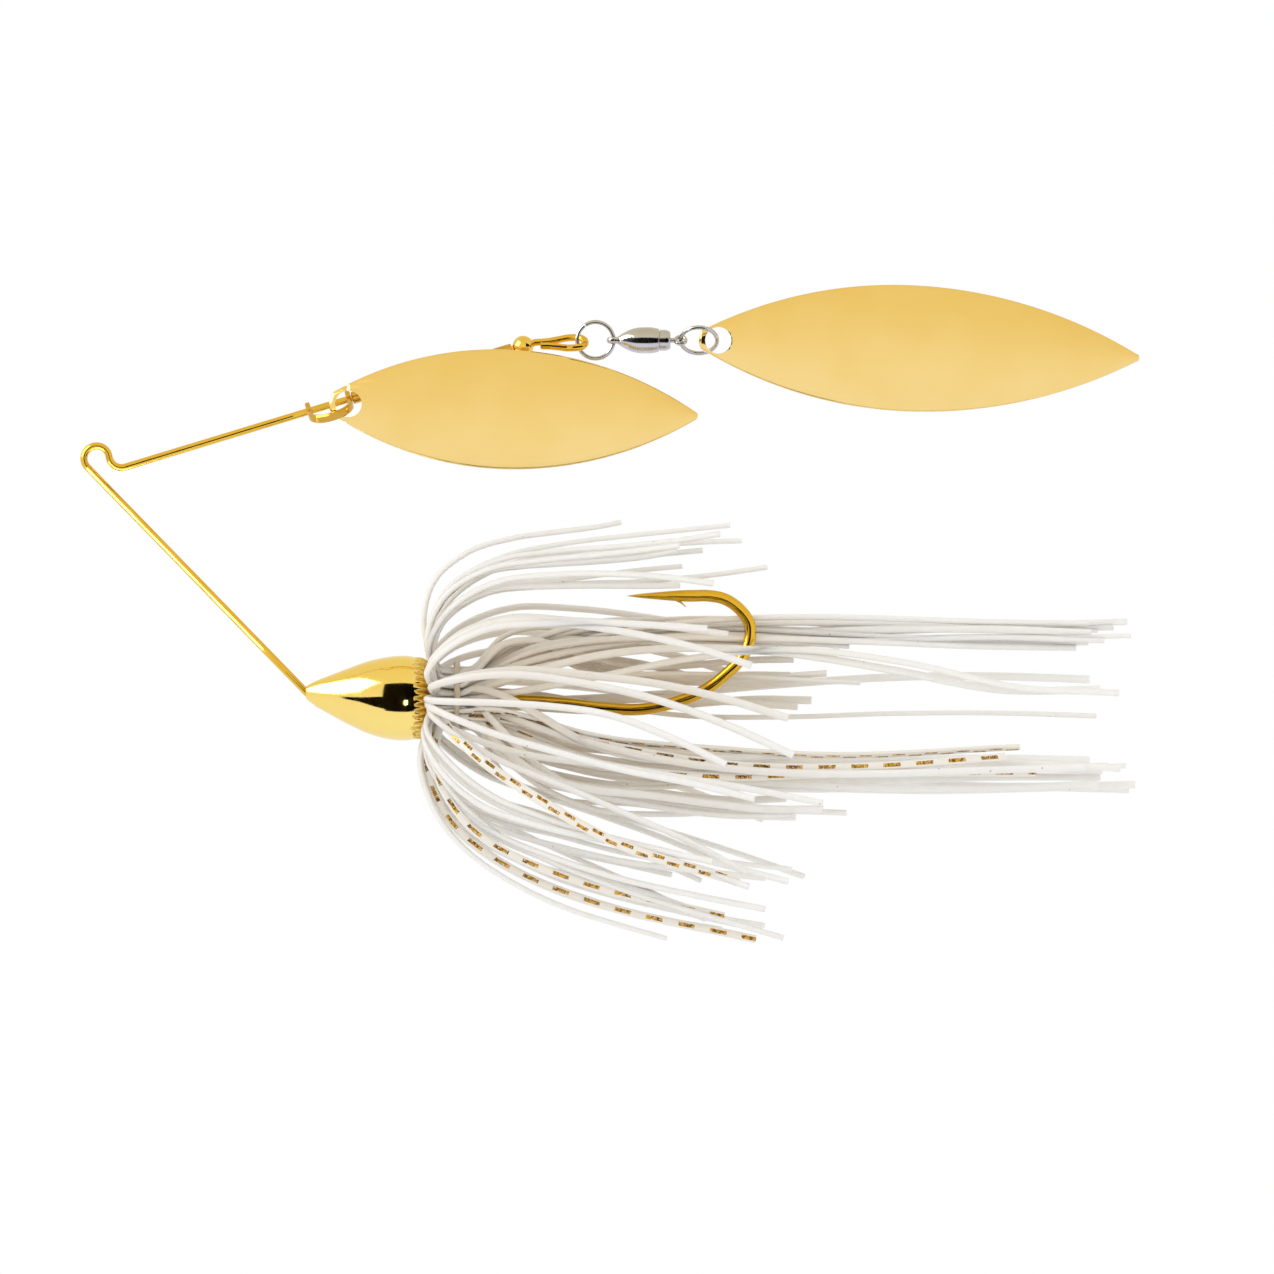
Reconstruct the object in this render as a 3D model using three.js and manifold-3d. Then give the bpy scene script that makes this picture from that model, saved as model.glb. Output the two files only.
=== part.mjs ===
// Double willow-leaf spinnerbait, hanging from its line tie with the nose up.
// Millimetres. +Z is up, +X is the side of the blade arm, -Y is the side that the front blade hangs on.
// The origin is the centre of the line tie's bend. The wire form, the head and the hook lie in the XZ plane.
import * as THREE from 'three';
import { mergeVertices } from 'three/addons/utils/BufferGeometryUtils.js';
import Module from 'manifold-3d';

const wasm = await Module();
wasm.setup();

// ---- Driving dimensions ----
const WIRE_R = 0.44;              // 0.88 mm stainless wire
const BEND_R = 1.55;              // both bends of the line tie, on the wire's centre line
const HEAD_ARM_ANGLE = -45.8;     // degrees from straight down, positive toward +X
const BLADE_ARM_ANGLE = 16.9;
const TIE_NECK_ANGLE = -82;       // heading of the wire between the two bends
const HEAD_ARM_LENGTH = 40;
const HEAD_BEND_R = 2.5;          // where the head arm turns down into the head
const BLADE_ARM_LENGTH = 52.6;
const RUNNING_GAP = 0.06;         // radial clearance of what turns or slides on the wire

const NOSE_Z = -25.6;
const HEAD_X = -29.4;             // axis of head, skirt and hook shank
const HEAD_PROFILE = [            // radius and distance behind the nose
  [0.75, 0], [1.5, 1.2], [2.5, 3.2], [3.6, 5.6], [4.45, 7.7], [4.95, 9.6],
  [5.2, 12.2], [5.1, 13.3], [4.85, 14.2], [4.1, 15.2], [3.0, 16.0],
];
const KEEPER_R = 2.05;
const KEEPER_END = 21.2;          // distance behind the nose
const KEEPER_CHAMFER = 0.3;
const CAST_GAP = 0.05;            // the metal shrinks this far clear of what is cast into it

const HOOK_R = 0.73;
const HOOK_EYE_R = 1.3;
const HOOK_EYE_Z = -35.5;
const HOOK_ROUTE = [              // x and z along the shank, round the bend and back to the spear
  [-29.4, -37.0], [-29.5, -47.0], [-30.0, -56.9], [-30.6, -62.0], [-30.75, -67.0], [-29.6, -72.0],
  [-28.3, -74.8], [-26.3, -77.4], [-24.4, -79.2], [-22.3, -80.1], [-20.3, -80.1], [-18.6, -79.0],
  [-17.3, -77.2], [-16.85, -75.2], [-16.85, -72.9],
];
const HOOK_EYE_WIRE_R = 0.65;
const SPEAR_PROFILE = [[0.73, -0.6], [0.73, 0], [0.62, 2.2], [0.32, 5.6]];  // radius and height up the spear
const SPEAR_LENGTH = 7.8;
const BARB_OUTLINE = [[0, 2.6], [0, 0.9], [-1.35, 0.6], [-0.5, 2.0]];  // toward the shank, and up the spear
const BARB_THICKNESS = 0.4;

const EYE_HEADING = 2.4;          // the arm's end eye: heading of its long axis
const EYE_TURN = 60;              // and its turn about that axis, out of the XZ plane
const EYE_LEG_GAP = 0.96;         // between the centre lines of its two closed legs
const EYE_END_R = 1.3;
const EYE_LENGTH = 6.1;           // from the arm's last straight to the far centre line

const CLEVIS_AT = 23.6;           // distance of its upper ear along the arm
const CLEVIS_SPAN = 5.1;          // ear to ear
const CLEVIS_DEPTH = 4.7;         // wire axis to the middle of the strap
const CLEVIS_STRAP = 0.6;         // strap thickness
const CLEVIS_WIDTH = 1.05;
const CLEVIS_EAR_R = 1.1;
const CLEVIS_PAST_WIRE = 0.6;     // how far the strap runs on past the wire's axis
const CLEVIS_TURN = 18;           // degrees that the clevis leans from -Y toward the hook

const SLEEVE_R = 0.78;
const BEAD_R = 1.29;
const END_GAP = 0.1;              // between the clevis, the sleeve and the bead
const BEAD_REST = 0.3;            // from the bead to the eye's first bend

const RING_R = 2.24;              // both rings, on the centre line
const RING_WIRE_R = 0.28;
const CHAIN_X = 14.5;             // the swivel's chain hangs plumb here
const CHAIN_Y = -0.42;
const FRONT_RING_Z = -61.2;
const SWIVEL_EYE_R = 0.62;
const SWIVEL_WIRE_R = 0.25;
const REAR_EYE_Z = -71.65;
const BARREL_PROFILE = [          // radius and z of its outside, from the open end up
  [1.42, -69.0], [1.6, -68.2], [1.6, -66.5], [1.3, -65.4], [0.8, -64.5], [0.5, -63.9],
];
const BARREL_HOLLOW = [[1.2, -69.5], [1.2, -69.0], [1.33, -68.4], [1.33, -66.6]];
const CAP_PROFILE = [             // a collar under the barrel, with a sleeve that goes up into it
  [0.36, -70.4], [1.05, -70.4], [1.28, -70.0], [1.28, -69.06], [1.12, -69.06], [1.12, -68.65], [0.36, -68.65],
];
const STEM_R = 0.3;
const STEM_END_Z = -71.13;        // inside the rear eye's wire
const STEM_FLANGE = [[1.15, -67.6], [1.15, -67.2]];
const BALL_R = 0.4;
const BALL_COUNT = 5;
const BALL_ORBIT_R = 0.74;
const BALL_Z = -68.17;

const BLADE_THICKNESS = 0.5;
const BLADE_HOLE_R = 1.62;
const BLADE_HOLE_AT = 2.4;        // from the blade's head end
const FRONT_BLADE = { length: 45.3, width: 14.7, crown: 1.9 };
const REAR_BLADE = { length: 54.1, width: 15.5, crown: 2.1 };
const BLADE_WIDEST = 0.475;       // share of the length, from the head end
const FRONT_BLADE_LEAN = -2.0;    // heading of the hanging blades
const REAR_BLADE_LEAN = -2.4;
const LEAF_HEAD_REACH = 1.6;      // how far the side arcs would run on past the head end
const LEAF_HEAD_R = 2.2;          // the round that cuts them off there
const LEAF_POINT_REACH = 0.47;    // the same at the point
const LEAF_POINT_R = 0.6;
const LEAF_POINT_DEPTH = 0.264;   // the point's round meets the side arcs this far up
const LEAF_END_HALF = 0.04;       // half the width of the small flats that close the leaf's two ends
const HANG_GAP = 0.15;            // from the rear ring's lowest centre line to the blade hole's centre
const FRONT_BLADE_HOLE = [6.7, -3.1, -30.9];

const BUNDLES = 10;
const BUNDLE_R = 0.8;
const BUNDLE_RING_R = 3.1;        // where the bundles pass the keeper
const FIRST_BUNDLE_ANGLE = 18;    // degrees from +X toward -Y
const COLLAR_Z = [-44.0, -45.6];  // the bundles run straight here, under the band and past the keeper's end
const SKIRT_FRONT = [             // radius and z of the umbrella, from the tips to the collar
  [20.3, -74.0], [19.3, -66.0], [18.0, -57.5], [16.3, -50.0], [13.6, -44.6], [10.2, -41.9],
  [6.8, -41.4], [4.5, -41.95], [3.35, -42.9],
];
const SKIRT_DROOP = 0.36;         // how much wider the umbrella is on the far side from the blades
const DROOP_LENGTH = 0.22;        // and how much lower its tips reach there, for each mm past DROOP_FROM_R
const DROOP_FROM_R = 12;
const TAIL_TIPS = [               // x, y and z of each bundle's tail end
  [-19.5, -9.0, -122], [-23.5, -12.0, -124], [-30.0, -12.5, -120], [-37.5, -9.5, -125], [-43.5, -3.8, -123],
  [-42.0, 4.2, -121], [-36.5, 9.5, -124], [-31.0, 12.5, -119], [-24.5, 12.0, -123], [-20.5, 9.0, -120],
];
const TAIL_SHARES = [0.42, 0.72];  // places along the tail, the first of them lifted
const TAIL_LIFT = 1.5;
const BAND_R = 0.45;
const BAND_Z = -44.2;
const BAND_GAP = 0.08;

const WIRE_SIDES = 10;
const BUNDLE_SIDES = 6;
const RING_SIDES = 8;
const RING_SEGMENTS = 24;
const ARC_STEP = 18;              // degrees of bend between two wire sections

// ---- Materials ----
function metal(color, roughness) {
  return new THREE.MeshStandardMaterial({ color, roughness, metalness: 1 });
}
const goldPlate = () => metal(0xe0a92c, 0.18);
const nickel = () => metal(0xc9c9cc, 0.2);
const silicone = () => new THREE.MeshStandardMaterial({ color: 0xf1f0ea, roughness: 0.45, metalness: 0 });
const bandRubber = () => new THREE.MeshStandardMaterial({ color: 0xe4e1d8, roughness: 0.6, metalness: 0 });

// ---- Small geometry tools ----
const rad = THREE.MathUtils.degToRad;
const lure = new THREE.Group();

function add(name, geometry, material) {
  const mesh = new THREE.Mesh(geometry, material);
  mesh.name = name;
  lure.add(mesh);
}

/** A geometry as a manifold solid, its vertices merged by place. */
function solid(geometry) {
  const bare = geometry.clone();
  bare.deleteAttribute('normal');
  bare.deleteAttribute('uv');
  const merged = mergeVertices(bare, 1e-4);
  const vertProperties = new Float32Array(merged.attributes.position.array);
  const triVerts = new Uint32Array(merged.index.array);
  return new wasm.Manifold(new wasm.Mesh({ numProp: 3, vertProperties, triVerts }));
}

/** A manifold solid as a geometry with flat faces. */
function toGeometry(manifold) {
  const mesh = manifold.getMesh();
  const geometry = new THREE.BufferGeometry();
  geometry.setAttribute('position', new THREE.BufferAttribute(mesh.vertProperties, 3));
  geometry.setIndex(new THREE.BufferAttribute(mesh.triVerts, 1));
  const flat = geometry.toNonIndexed();
  flat.computeVertexNormals();
  return flat;
}

function disc(radius, sides) {
  const shape = new THREE.Shape();
  for (let i = 0; i < sides; i++) {
    const a = (i * 2 * Math.PI) / sides;
    shape[i === 0 ? 'moveTo' : 'lineTo'](radius * Math.cos(a), radius * Math.sin(a));
  }
  shape.closePath();
  return shape;
}

/** A cylinder between two heights on the local Z axis. */
function rod(radius, zLow, zHigh, sides = 16) {
  const geometry = new THREE.CylinderGeometry(radius, radius, zHigh - zLow, sides);
  geometry.rotateX(Math.PI / 2);
  geometry.translate(0, 0, (zHigh + zLow) / 2);
  return geometry;
}

/** A profile of [radius, z] points, from low to high, turned about the local Z axis. */
function turned(profile, sides) {
  const points = profile.map(([r, z]) => new THREE.Vector2(r, z));
  const geometry = new THREE.LatheGeometry(points, sides);
  geometry.rotateX(Math.PI / 2);
  return geometry;
}

/** A profile with its two ends brought in to the axis. */
const closedOnAxis = (profile) => [[0, profile[0][1]], ...profile, [0, profile.at(-1)[1]]];

/** Moves a geometry so that its local Z axis runs along `axis` and its X axis along `side`. */
function aim(geometry, origin, axis, side) {
  const z = axis.clone().normalize();
  const x = side.clone().addScaledVector(z, -side.dot(z)).normalize();
  const y = new THREE.Vector3().crossVectors(z, x);
  const matrix = new THREE.Matrix4().makeBasis(x, y, z).setPosition(origin);
  return geometry.clone().applyMatrix4(matrix);
}

// ---- Bent wire: straights and arcs in the XZ plane ----
const headingVector = (deg) => new THREE.Vector3(Math.sin(rad(deg)), 0, -Math.cos(rad(deg)));
const towardTurn = (deg) => new THREE.Vector3(Math.cos(rad(deg)), 0, Math.sin(rad(deg)));

/** A route whose sections stand exactly at its stations, each with its own tangent. */
class StationCurve extends THREE.Curve {
  constructor(stations) {
    super();
    this.stations = stations;
  }

  station(u) {
    return this.stations[Math.round(u * (this.stations.length - 1))];
  }

  getPointAt(u, target = new THREE.Vector3()) {
    return target.copy(this.station(u).point);
  }

  getTangentAt(u, target = new THREE.Vector3()) {
    return target.copy(this.station(u).tangent);
  }
}

/** Stations of a wire that leaves `start` at `heading` and makes the given moves. */
function bend(start, heading, moves) {
  let point = start.clone();
  let angle = heading;
  const stations = [{ point: point.clone(), tangent: headingVector(angle) }];
  for (const move of moves) {
    if (move.straight !== undefined) {
      point = point.clone().addScaledVector(headingVector(angle), move.straight);
      stations.push({ point: point.clone(), tangent: headingVector(angle) });
      continue;
    }
    const side = Math.sign(move.turn) * move.radius;
    const centre = point.clone().addScaledVector(towardTurn(angle), side);
    const steps = Math.max(2, Math.ceil(Math.abs(move.turn) / ARC_STEP));
    for (let i = 1; i <= steps; i++) {
      const at = angle + (move.turn * i) / steps;
      point = centre.clone().addScaledVector(towardTurn(at), -side);
      stations.push({ point: point.clone(), tangent: headingVector(at) });
    }
    angle += move.turn;
  }
  return stations;
}

function reversed(stations) {
  return stations.map(({ point, tangent }) => ({ point, tangent: tangent.clone().negate() })).reverse();
}

/** Stations on a smooth curve through `points`, with `perSpan` steps between each two. */
function smoothStations(points, perSpan) {
  const curve = new THREE.CatmullRomCurve3(points, false, 'centripetal');
  const steps = (points.length - 1) * perSpan;
  const stations = [];
  for (let i = 0; i <= steps; i++) {
    stations.push({ point: curve.getPoint(i / steps), tangent: curve.getTangent(i / steps) });
  }
  return stations;
}

function wireAlong(stations, radius, sides = WIRE_SIDES) {
  const extrudePath = new StationCurve(stations);
  return new THREE.ExtrudeGeometry(disc(radius, sides), {
    steps: stations.length - 1, extrudePath, bevelEnabled: false,
  });
}

// ---- Wire form ----
const tieStart = towardTurn(HEAD_ARM_ANGLE + 180).multiplyScalar(BEND_R);
const toLoop = HEAD_ARM_ANGLE + 180;

const headBranch = bend(tieStart, HEAD_ARM_ANGLE, [
  { straight: HEAD_ARM_LENGTH },
  { radius: HEAD_BEND_R, turn: -HEAD_ARM_ANGLE },
  { straight: 5.93 },
  { radius: 1.0, turn: 90 },
  { straight: 1.6 },
]);
const armBranch = bend(tieStart, toLoop, [
  { radius: BEND_R, turn: TIE_NECK_ANGLE - toLoop },
  { radius: BEND_R, turn: BLADE_ARM_ANGLE - TIE_NECK_ANGLE },
  { straight: BLADE_ARM_LENGTH },
]);
const armEnd = armBranch[armBranch.length - 1].point;
const armDirection = headingVector(BLADE_ARM_ANGLE);
const armStart = armEnd.clone().addScaledVector(armDirection, -BLADE_ARM_LENGTH);
const onArm = (distance) => armStart.clone().addScaledVector(armDirection, distance);

/** The eye closes back on itself, so the wire ends beside its own arm. */
function eyeStations() {
  const along = headingVector(EYE_HEADING);
  const inPlane = towardTurn(EYE_HEADING).multiplyScalar(-Math.cos(rad(EYE_TURN)));
  const across = inPlane.add(new THREE.Vector3(0, -Math.sin(rad(EYE_TURN)), 0));
  const half = EYE_LEG_GAP / 2;
  const centre = EYE_LENGTH - EYE_END_R;
  const leg = [[0.7, half], [1.9, half], [3.0, half + 0.28], [4.0, EYE_END_R - 0.07]];
  const end = [-60, -30, 0, 30, 60].map((deg) => [
    centre + EYE_END_R * Math.cos(rad(deg)), EYE_END_R * Math.sin(rad(deg)),
  ]);
  const out = leg.map(([p, q]) => [p, -q]);
  const back = [...leg].reverse();
  const points = [...out, ...end, ...back].map(([p, q]) => armEnd.clone()
    .addScaledVector(along, p).addScaledVector(across, q + half));
  return smoothStations(points, 2);
}

const wireStations = [...reversed(headBranch), ...armBranch.slice(1), ...eyeStations()];
add('wire_frame', wireAlong(wireStations, WIRE_R), goldPlate());

// ---- Hook: eye, shank, bend, spear and barb ----
function hookSolid(grow) {
  const points = HOOK_ROUTE.map(([x, z]) => new THREE.Vector3(x, 0, z));
  const shank = solid(wireAlong(smoothStations(points, 2), HOOK_R + grow));
  const eye = new THREE.TorusGeometry(HOOK_EYE_R, HOOK_EYE_WIRE_R + grow, RING_SIDES, 16);
  eye.rotateY(Math.PI / 2);
  eye.translate(HEAD_X, 0, HOOK_EYE_Z);
  return shank.add(solid(eye));
}

function spearAndBarb() {
  const [x, z] = HOOK_ROUTE[HOOK_ROUTE.length - 1];
  const spear = turned([[0, SPEAR_PROFILE[0][1]], ...SPEAR_PROFILE, [0, SPEAR_LENGTH]], 12);
  spear.translate(x, 0, z);
  const outline = new THREE.Shape(BARB_OUTLINE.map(([across, up]) => new THREE.Vector2(across, up)));
  const barb = new THREE.ExtrudeGeometry(outline, { depth: BARB_THICKNESS, bevelEnabled: false });
  barb.rotateX(Math.PI / 2);
  barb.translate(x, BARB_THICKNESS / 2, z);
  return solid(spear).add(solid(barb));
}
add('hook', toGeometry(hookSolid(0).add(spearAndBarb())), goldPlate());

// ---- Head: cast round the wire's inner end and the hook's eye ----
function headSolid() {
  const outside = HEAD_PROFILE.map(([r, back]) => [r, NOSE_Z - back]);
  const profile = [
    [0, NOSE_Z - KEEPER_END], [KEEPER_R - KEEPER_CHAMFER, NOSE_Z - KEEPER_END],
    [KEEPER_R, NOSE_Z - KEEPER_END + 2 * KEEPER_CHAMFER], [KEEPER_R, NOSE_Z - HEAD_PROFILE.at(-1)[1]],
    ...outside.reverse(), [0, NOSE_Z],
  ];
  const body = turned(profile, 28);
  body.translate(HEAD_X, 0, 0);
  const wireCavity = solid(wireAlong(headBranch, WIRE_R + CAST_GAP));
  return solid(body).subtract(wireCavity).subtract(hookSolid(CAST_GAP));
}
add('head', toGeometry(headSolid()), goldPlate());

// ---- Skirt: bundles of strands held to the keeper by a band ----
function bundleRoute(index) {
  const angle = rad(FIRST_BUNDLE_ANGLE + (360 / BUNDLES) * index);
  const widen = 1 + (SKIRT_DROOP * (1 - Math.cos(angle))) / 2;
  const at = (r, z) => new THREE.Vector3(HEAD_X + r * Math.cos(angle), -r * Math.sin(angle), z);
  const front = SKIRT_FRONT.map(([r, z]) => {
    const spread = BUNDLE_RING_R + (r - BUNDLE_RING_R) * widen;
    return at(spread, z - (widen - 1) * DROOP_LENGTH * Math.max(0, r - DROOP_FROM_R));
  });
  const tip = new THREE.Vector3(...TAIL_TIPS[index]);
  const [collar, collarEnd] = COLLAR_Z.map((z) => at(BUNDLE_RING_R, z));
  const [settle, late] = TAIL_SHARES.map((share) => collarEnd.clone().lerp(tip, share));
  settle.z += TAIL_LIFT;
  return [...front, collar, collarEnd, settle, late, tip];
}
for (let i = 0; i < BUNDLES; i++) {
  const name = `skirt_bundle_${String(i + 1).padStart(2, '0')}`;
  add(name, wireAlong(smoothStations(bundleRoute(i), 2), BUNDLE_R, BUNDLE_SIDES), silicone());
}

const bandRadius = BUNDLE_RING_R + BUNDLE_R + BAND_R + BAND_GAP;
const band = new THREE.TorusGeometry(bandRadius, BAND_R, 6, RING_SEGMENTS);
band.translate(HEAD_X, 0, BAND_Z);
add('skirt_band', band, bandRubber());

// ---- Front clevis, sleeve and bead on the arm ----
const clevisOut = new THREE.Vector3(0, -Math.cos(rad(CLEVIS_TURN)), 0)
  .addScaledVector(towardTurn(BLADE_ARM_ANGLE), -Math.sin(rad(CLEVIS_TURN)));
const clevisSide = new THREE.Vector3().crossVectors(armDirection, clevisOut);

/** A U of strap in the plane of the arm and `clevisOut`, with a round ear on the wire at each end. */
function clevisSolid() {
  const depth = CLEVIS_DEPTH;
  const half = CLEVIS_STRAP / 2;
  const bendR = CLEVIS_SPAN / 2;
  const shape = new THREE.Shape();
  shape.moveTo(-half, -CLEVIS_PAST_WIRE);
  shape.lineTo(-half, depth - bendR);
  shape.absarc(bendR, depth - bendR, bendR + half, Math.PI, 0, true);
  shape.lineTo(CLEVIS_SPAN + half, -CLEVIS_PAST_WIRE);
  shape.lineTo(CLEVIS_SPAN - half, -CLEVIS_PAST_WIRE);
  shape.lineTo(CLEVIS_SPAN - half, depth - bendR);
  shape.absarc(bendR, depth - bendR, bendR - half, 0, Math.PI, false);
  shape.lineTo(half, -CLEVIS_PAST_WIRE);
  shape.closePath();
  const strap = new THREE.ExtrudeGeometry(shape, {
    depth: CLEVIS_WIDTH, bevelEnabled: false, curveSegments: 10,
  });
  strap.translate(0, 0, -CLEVIS_WIDTH / 2);
  const place = new THREE.Matrix4().makeBasis(armDirection, clevisOut, clevisSide);
  let clevis = solid(strap.applyMatrix4(place.setPosition(onArm(CLEVIS_AT))));
  for (const distance of [CLEVIS_AT, CLEVIS_AT + CLEVIS_SPAN]) {
    const ear = aim(rod(CLEVIS_EAR_R, -half, half), onArm(distance), armDirection, clevisOut);
    clevis = clevis.add(solid(ear));
  }
  const bore = rod(WIRE_R + RUNNING_GAP, -1, CLEVIS_SPAN + 1);
  return clevis.subtract(solid(aim(bore, onArm(CLEVIS_AT), armDirection, clevisOut)));
}
add('front_clevis', toGeometry(clevisSolid()), goldPlate());

/** A solid with the wire's running bore along its local Z axis. */
function pierced(outside) {
  const bore = rod(WIRE_R + RUNNING_GAP, -BLADE_ARM_LENGTH / 2, BLADE_ARM_LENGTH / 2);
  return solid(outside).subtract(solid(bore));
}
const sleeveStart = CLEVIS_AT + CLEVIS_SPAN + CLEVIS_STRAP / 2 + END_GAP;
const beadCentre = BLADE_ARM_LENGTH - BEAD_R - BEAD_REST;
const sleeveLength = beadCentre - BEAD_R - END_GAP - sleeveStart;
const sleeve = toGeometry(pierced(rod(SLEEVE_R, -sleeveLength / 2, sleeveLength / 2)));
const sleeveMiddle = onArm(sleeveStart + sleeveLength / 2);
add('spacer_sleeve', aim(sleeve, sleeveMiddle, armDirection, clevisOut), goldPlate());
const bead = toGeometry(pierced(new THREE.SphereGeometry(BEAD_R, 16, 12).rotateX(Math.PI / 2)));
add('wire_bead', aim(bead, onArm(beadCentre), armDirection, clevisOut), goldPlate());

// ---- Blades ----
/** Half the width of a willow-leaf outline at `distance` from its head end. */
function leafHalfWidth(distance, { length, width }) {
  const half = width / 2;
  const widest = BLADE_WIDEST * length;
  const fromPoint = length - distance;
  if (fromPoint < LEAF_POINT_DEPTH) {
    return Math.max(LEAF_END_HALF, Math.sqrt(2 * LEAF_POINT_R * fromPoint - fromPoint ** 2));
  }
  const reach = distance < widest ? widest + LEAF_HEAD_REACH : length - widest + LEAF_POINT_REACH;
  const sweep = (reach * reach + half * half) / (2 * half);
  const arc = half - (sweep - Math.sqrt(sweep * sweep - (distance - widest) ** 2));
  if (distance > LEAF_HEAD_R) {
    return arc;
  }
  const round = Math.sqrt(Math.max(0, LEAF_HEAD_R ** 2 - (LEAF_HEAD_R - distance) ** 2));
  return Math.max(LEAF_END_HALF, Math.min(arc, round));
}

/** A crowned leaf: length along -Z from the head end, width along X, its crown toward -Y. */
function leafGeometry(blade) {
  const rows = 26;
  const columns = 6;
  const points = [];
  for (const side of [-1, 1]) {
    for (let i = 0; i <= rows; i++) {
      const distance = (blade.length * (1 - Math.cos((Math.PI * i) / rows))) / 2;
      const half = leafHalfWidth(distance, blade);
      for (let j = 0; j <= columns; j++) {
        const across = (2 * j) / columns - 1;
        const crown = blade.crown * (half / (blade.width / 2)) * (1 - across ** 2);
        points.push(half * across, -crown + (side * BLADE_THICKNESS) / 2, -distance);
      }
    }
  }
  const perSide = (rows + 1) * (columns + 1);
  const index = [];
  const at = (layer, i, j) => layer * perSide + i * (columns + 1) + j;
  const quad = (a, b, c, d) => index.push(a, b, c, a, c, d);
  for (let i = 0; i < rows; i++) {
    for (let j = 0; j < columns; j++) {
      quad(at(0, i, j), at(0, i + 1, j), at(0, i + 1, j + 1), at(0, i, j + 1));
      quad(at(1, i, j), at(1, i, j + 1), at(1, i + 1, j + 1), at(1, i + 1, j));
    }
    quad(at(0, i, 0), at(1, i, 0), at(1, i + 1, 0), at(0, i + 1, 0));
    quad(at(0, i, columns), at(0, i + 1, columns), at(1, i + 1, columns), at(1, i, columns));
  }
  for (let j = 0; j < columns; j++) {
    quad(at(0, 0, j), at(0, 0, j + 1), at(1, 0, j + 1), at(1, 0, j));
    quad(at(0, rows, j), at(1, rows, j), at(1, rows, j + 1), at(0, rows, j + 1));
  }
  const geometry = new THREE.BufferGeometry();
  geometry.setAttribute('position', new THREE.Float32BufferAttribute(points, 3));
  geometry.setIndex(index);
  return geometry;
}

/** A pierced blade with its hole's centre at `hole`, hanging at `lean` degrees from plumb. */
function bladeGeometry(blade, hole, lean) {
  const drill = new THREE.CylinderGeometry(BLADE_HOLE_R, BLADE_HOLE_R, 6, 20);
  drill.translate(0, 0, -BLADE_HOLE_AT);
  const geometry = toGeometry(solid(leafGeometry(blade)).subtract(solid(drill)));
  geometry.translate(0, 0, BLADE_HOLE_AT);
  geometry.rotateY(-rad(lean));
  geometry.translate(...hole);
  return geometry;
}
add('front_blade', bladeGeometry(FRONT_BLADE, FRONT_BLADE_HOLE, FRONT_BLADE_LEAN), goldPlate());

const rearRingZ = REAR_EYE_Z - RING_R;
const rearBladeHole = [CHAIN_X, CHAIN_Y, rearRingZ - RING_R - HANG_GAP];
add('rear_blade', bladeGeometry(REAR_BLADE, rearBladeHole, REAR_BLADE_LEAN), goldPlate());

// ---- Swivel chain ----
const ringTurn = rad(45);         // the rear ring and the rear eye stand at 45 degrees to the wire form
const towardX = new THREE.Vector3(1, 0, 0);

function ringGeometry(radius, wire, z, turn) {
  const geometry = new THREE.TorusGeometry(radius, wire, RING_SIDES, RING_SEGMENTS);
  geometry.rotateX(Math.PI / 2);
  geometry.rotateZ(turn);
  geometry.translate(CHAIN_X, CHAIN_Y, z);
  return geometry;
}
function onChain(geometry) {
  return aim(geometry, new THREE.Vector3(CHAIN_X, CHAIN_Y, 0), new THREE.Vector3(0, 0, 1), towardX);
}

add('swivel_front_ring', ringGeometry(RING_R, RING_WIRE_R, FRONT_RING_Z, 0), nickel());

const frontEyeZ = FRONT_RING_Z - RING_R;
function barrelSolid() {
  const outside = turned(closedOnAxis(BARREL_PROFILE), 24);
  const hollow = turned(closedOnAxis(BARREL_HOLLOW), 24);
  const eye = ringGeometry(SWIVEL_EYE_R, SWIVEL_WIRE_R, frontEyeZ, Math.PI / 2);
  return solid(onChain(outside)).subtract(solid(onChain(hollow))).add(solid(eye));
}
add('swivel_barrel', toGeometry(barrelSolid()), nickel());

const cap = turned([...CAP_PROFILE, CAP_PROFILE[0]], 24);
add('swivel_end_cap', onChain(cap), nickel());

function stemSolid() {
  const profile = [[STEM_R, STEM_END_Z], [STEM_R, -67.75], ...STEM_FLANGE];
  const stem = turned(closedOnAxis(profile), 20);
  const eye = ringGeometry(SWIVEL_EYE_R, SWIVEL_WIRE_R, REAR_EYE_Z, ringTurn);
  return solid(onChain(stem)).add(solid(eye));
}
add('swivel_stem', toGeometry(stemSolid()), nickel());

for (let i = 0; i < BALL_COUNT; i++) {
  const angle = (i * 2 * Math.PI) / BALL_COUNT;
  const ball = new THREE.IcosahedronGeometry(BALL_R, 1);
  ball.translate(CHAIN_X + BALL_ORBIT_R * Math.cos(angle), CHAIN_Y + BALL_ORBIT_R * Math.sin(angle), BALL_Z);
  add(`swivel_ball_${i + 1}`, ball, nickel());
}

add('rear_ring', ringGeometry(RING_R, RING_WIRE_R, rearRingZ, ringTurn + Math.PI / 2), nickel());

export default lure;
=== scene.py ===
"""Looks of the double willow-leaf spinnerbait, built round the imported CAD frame.

The pieces and the reflected cards are given in millimetres of the row frame, and made in metres.
The camera, the floor and the key light are given in metres.
The lure hangs from its line tie: +Z is up, +X is the blade arm's side, -Y faces the camera.
"""
import math
import random

import bmesh
import bpy
import numpy as np
from mathutils import Matrix, Vector


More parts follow.
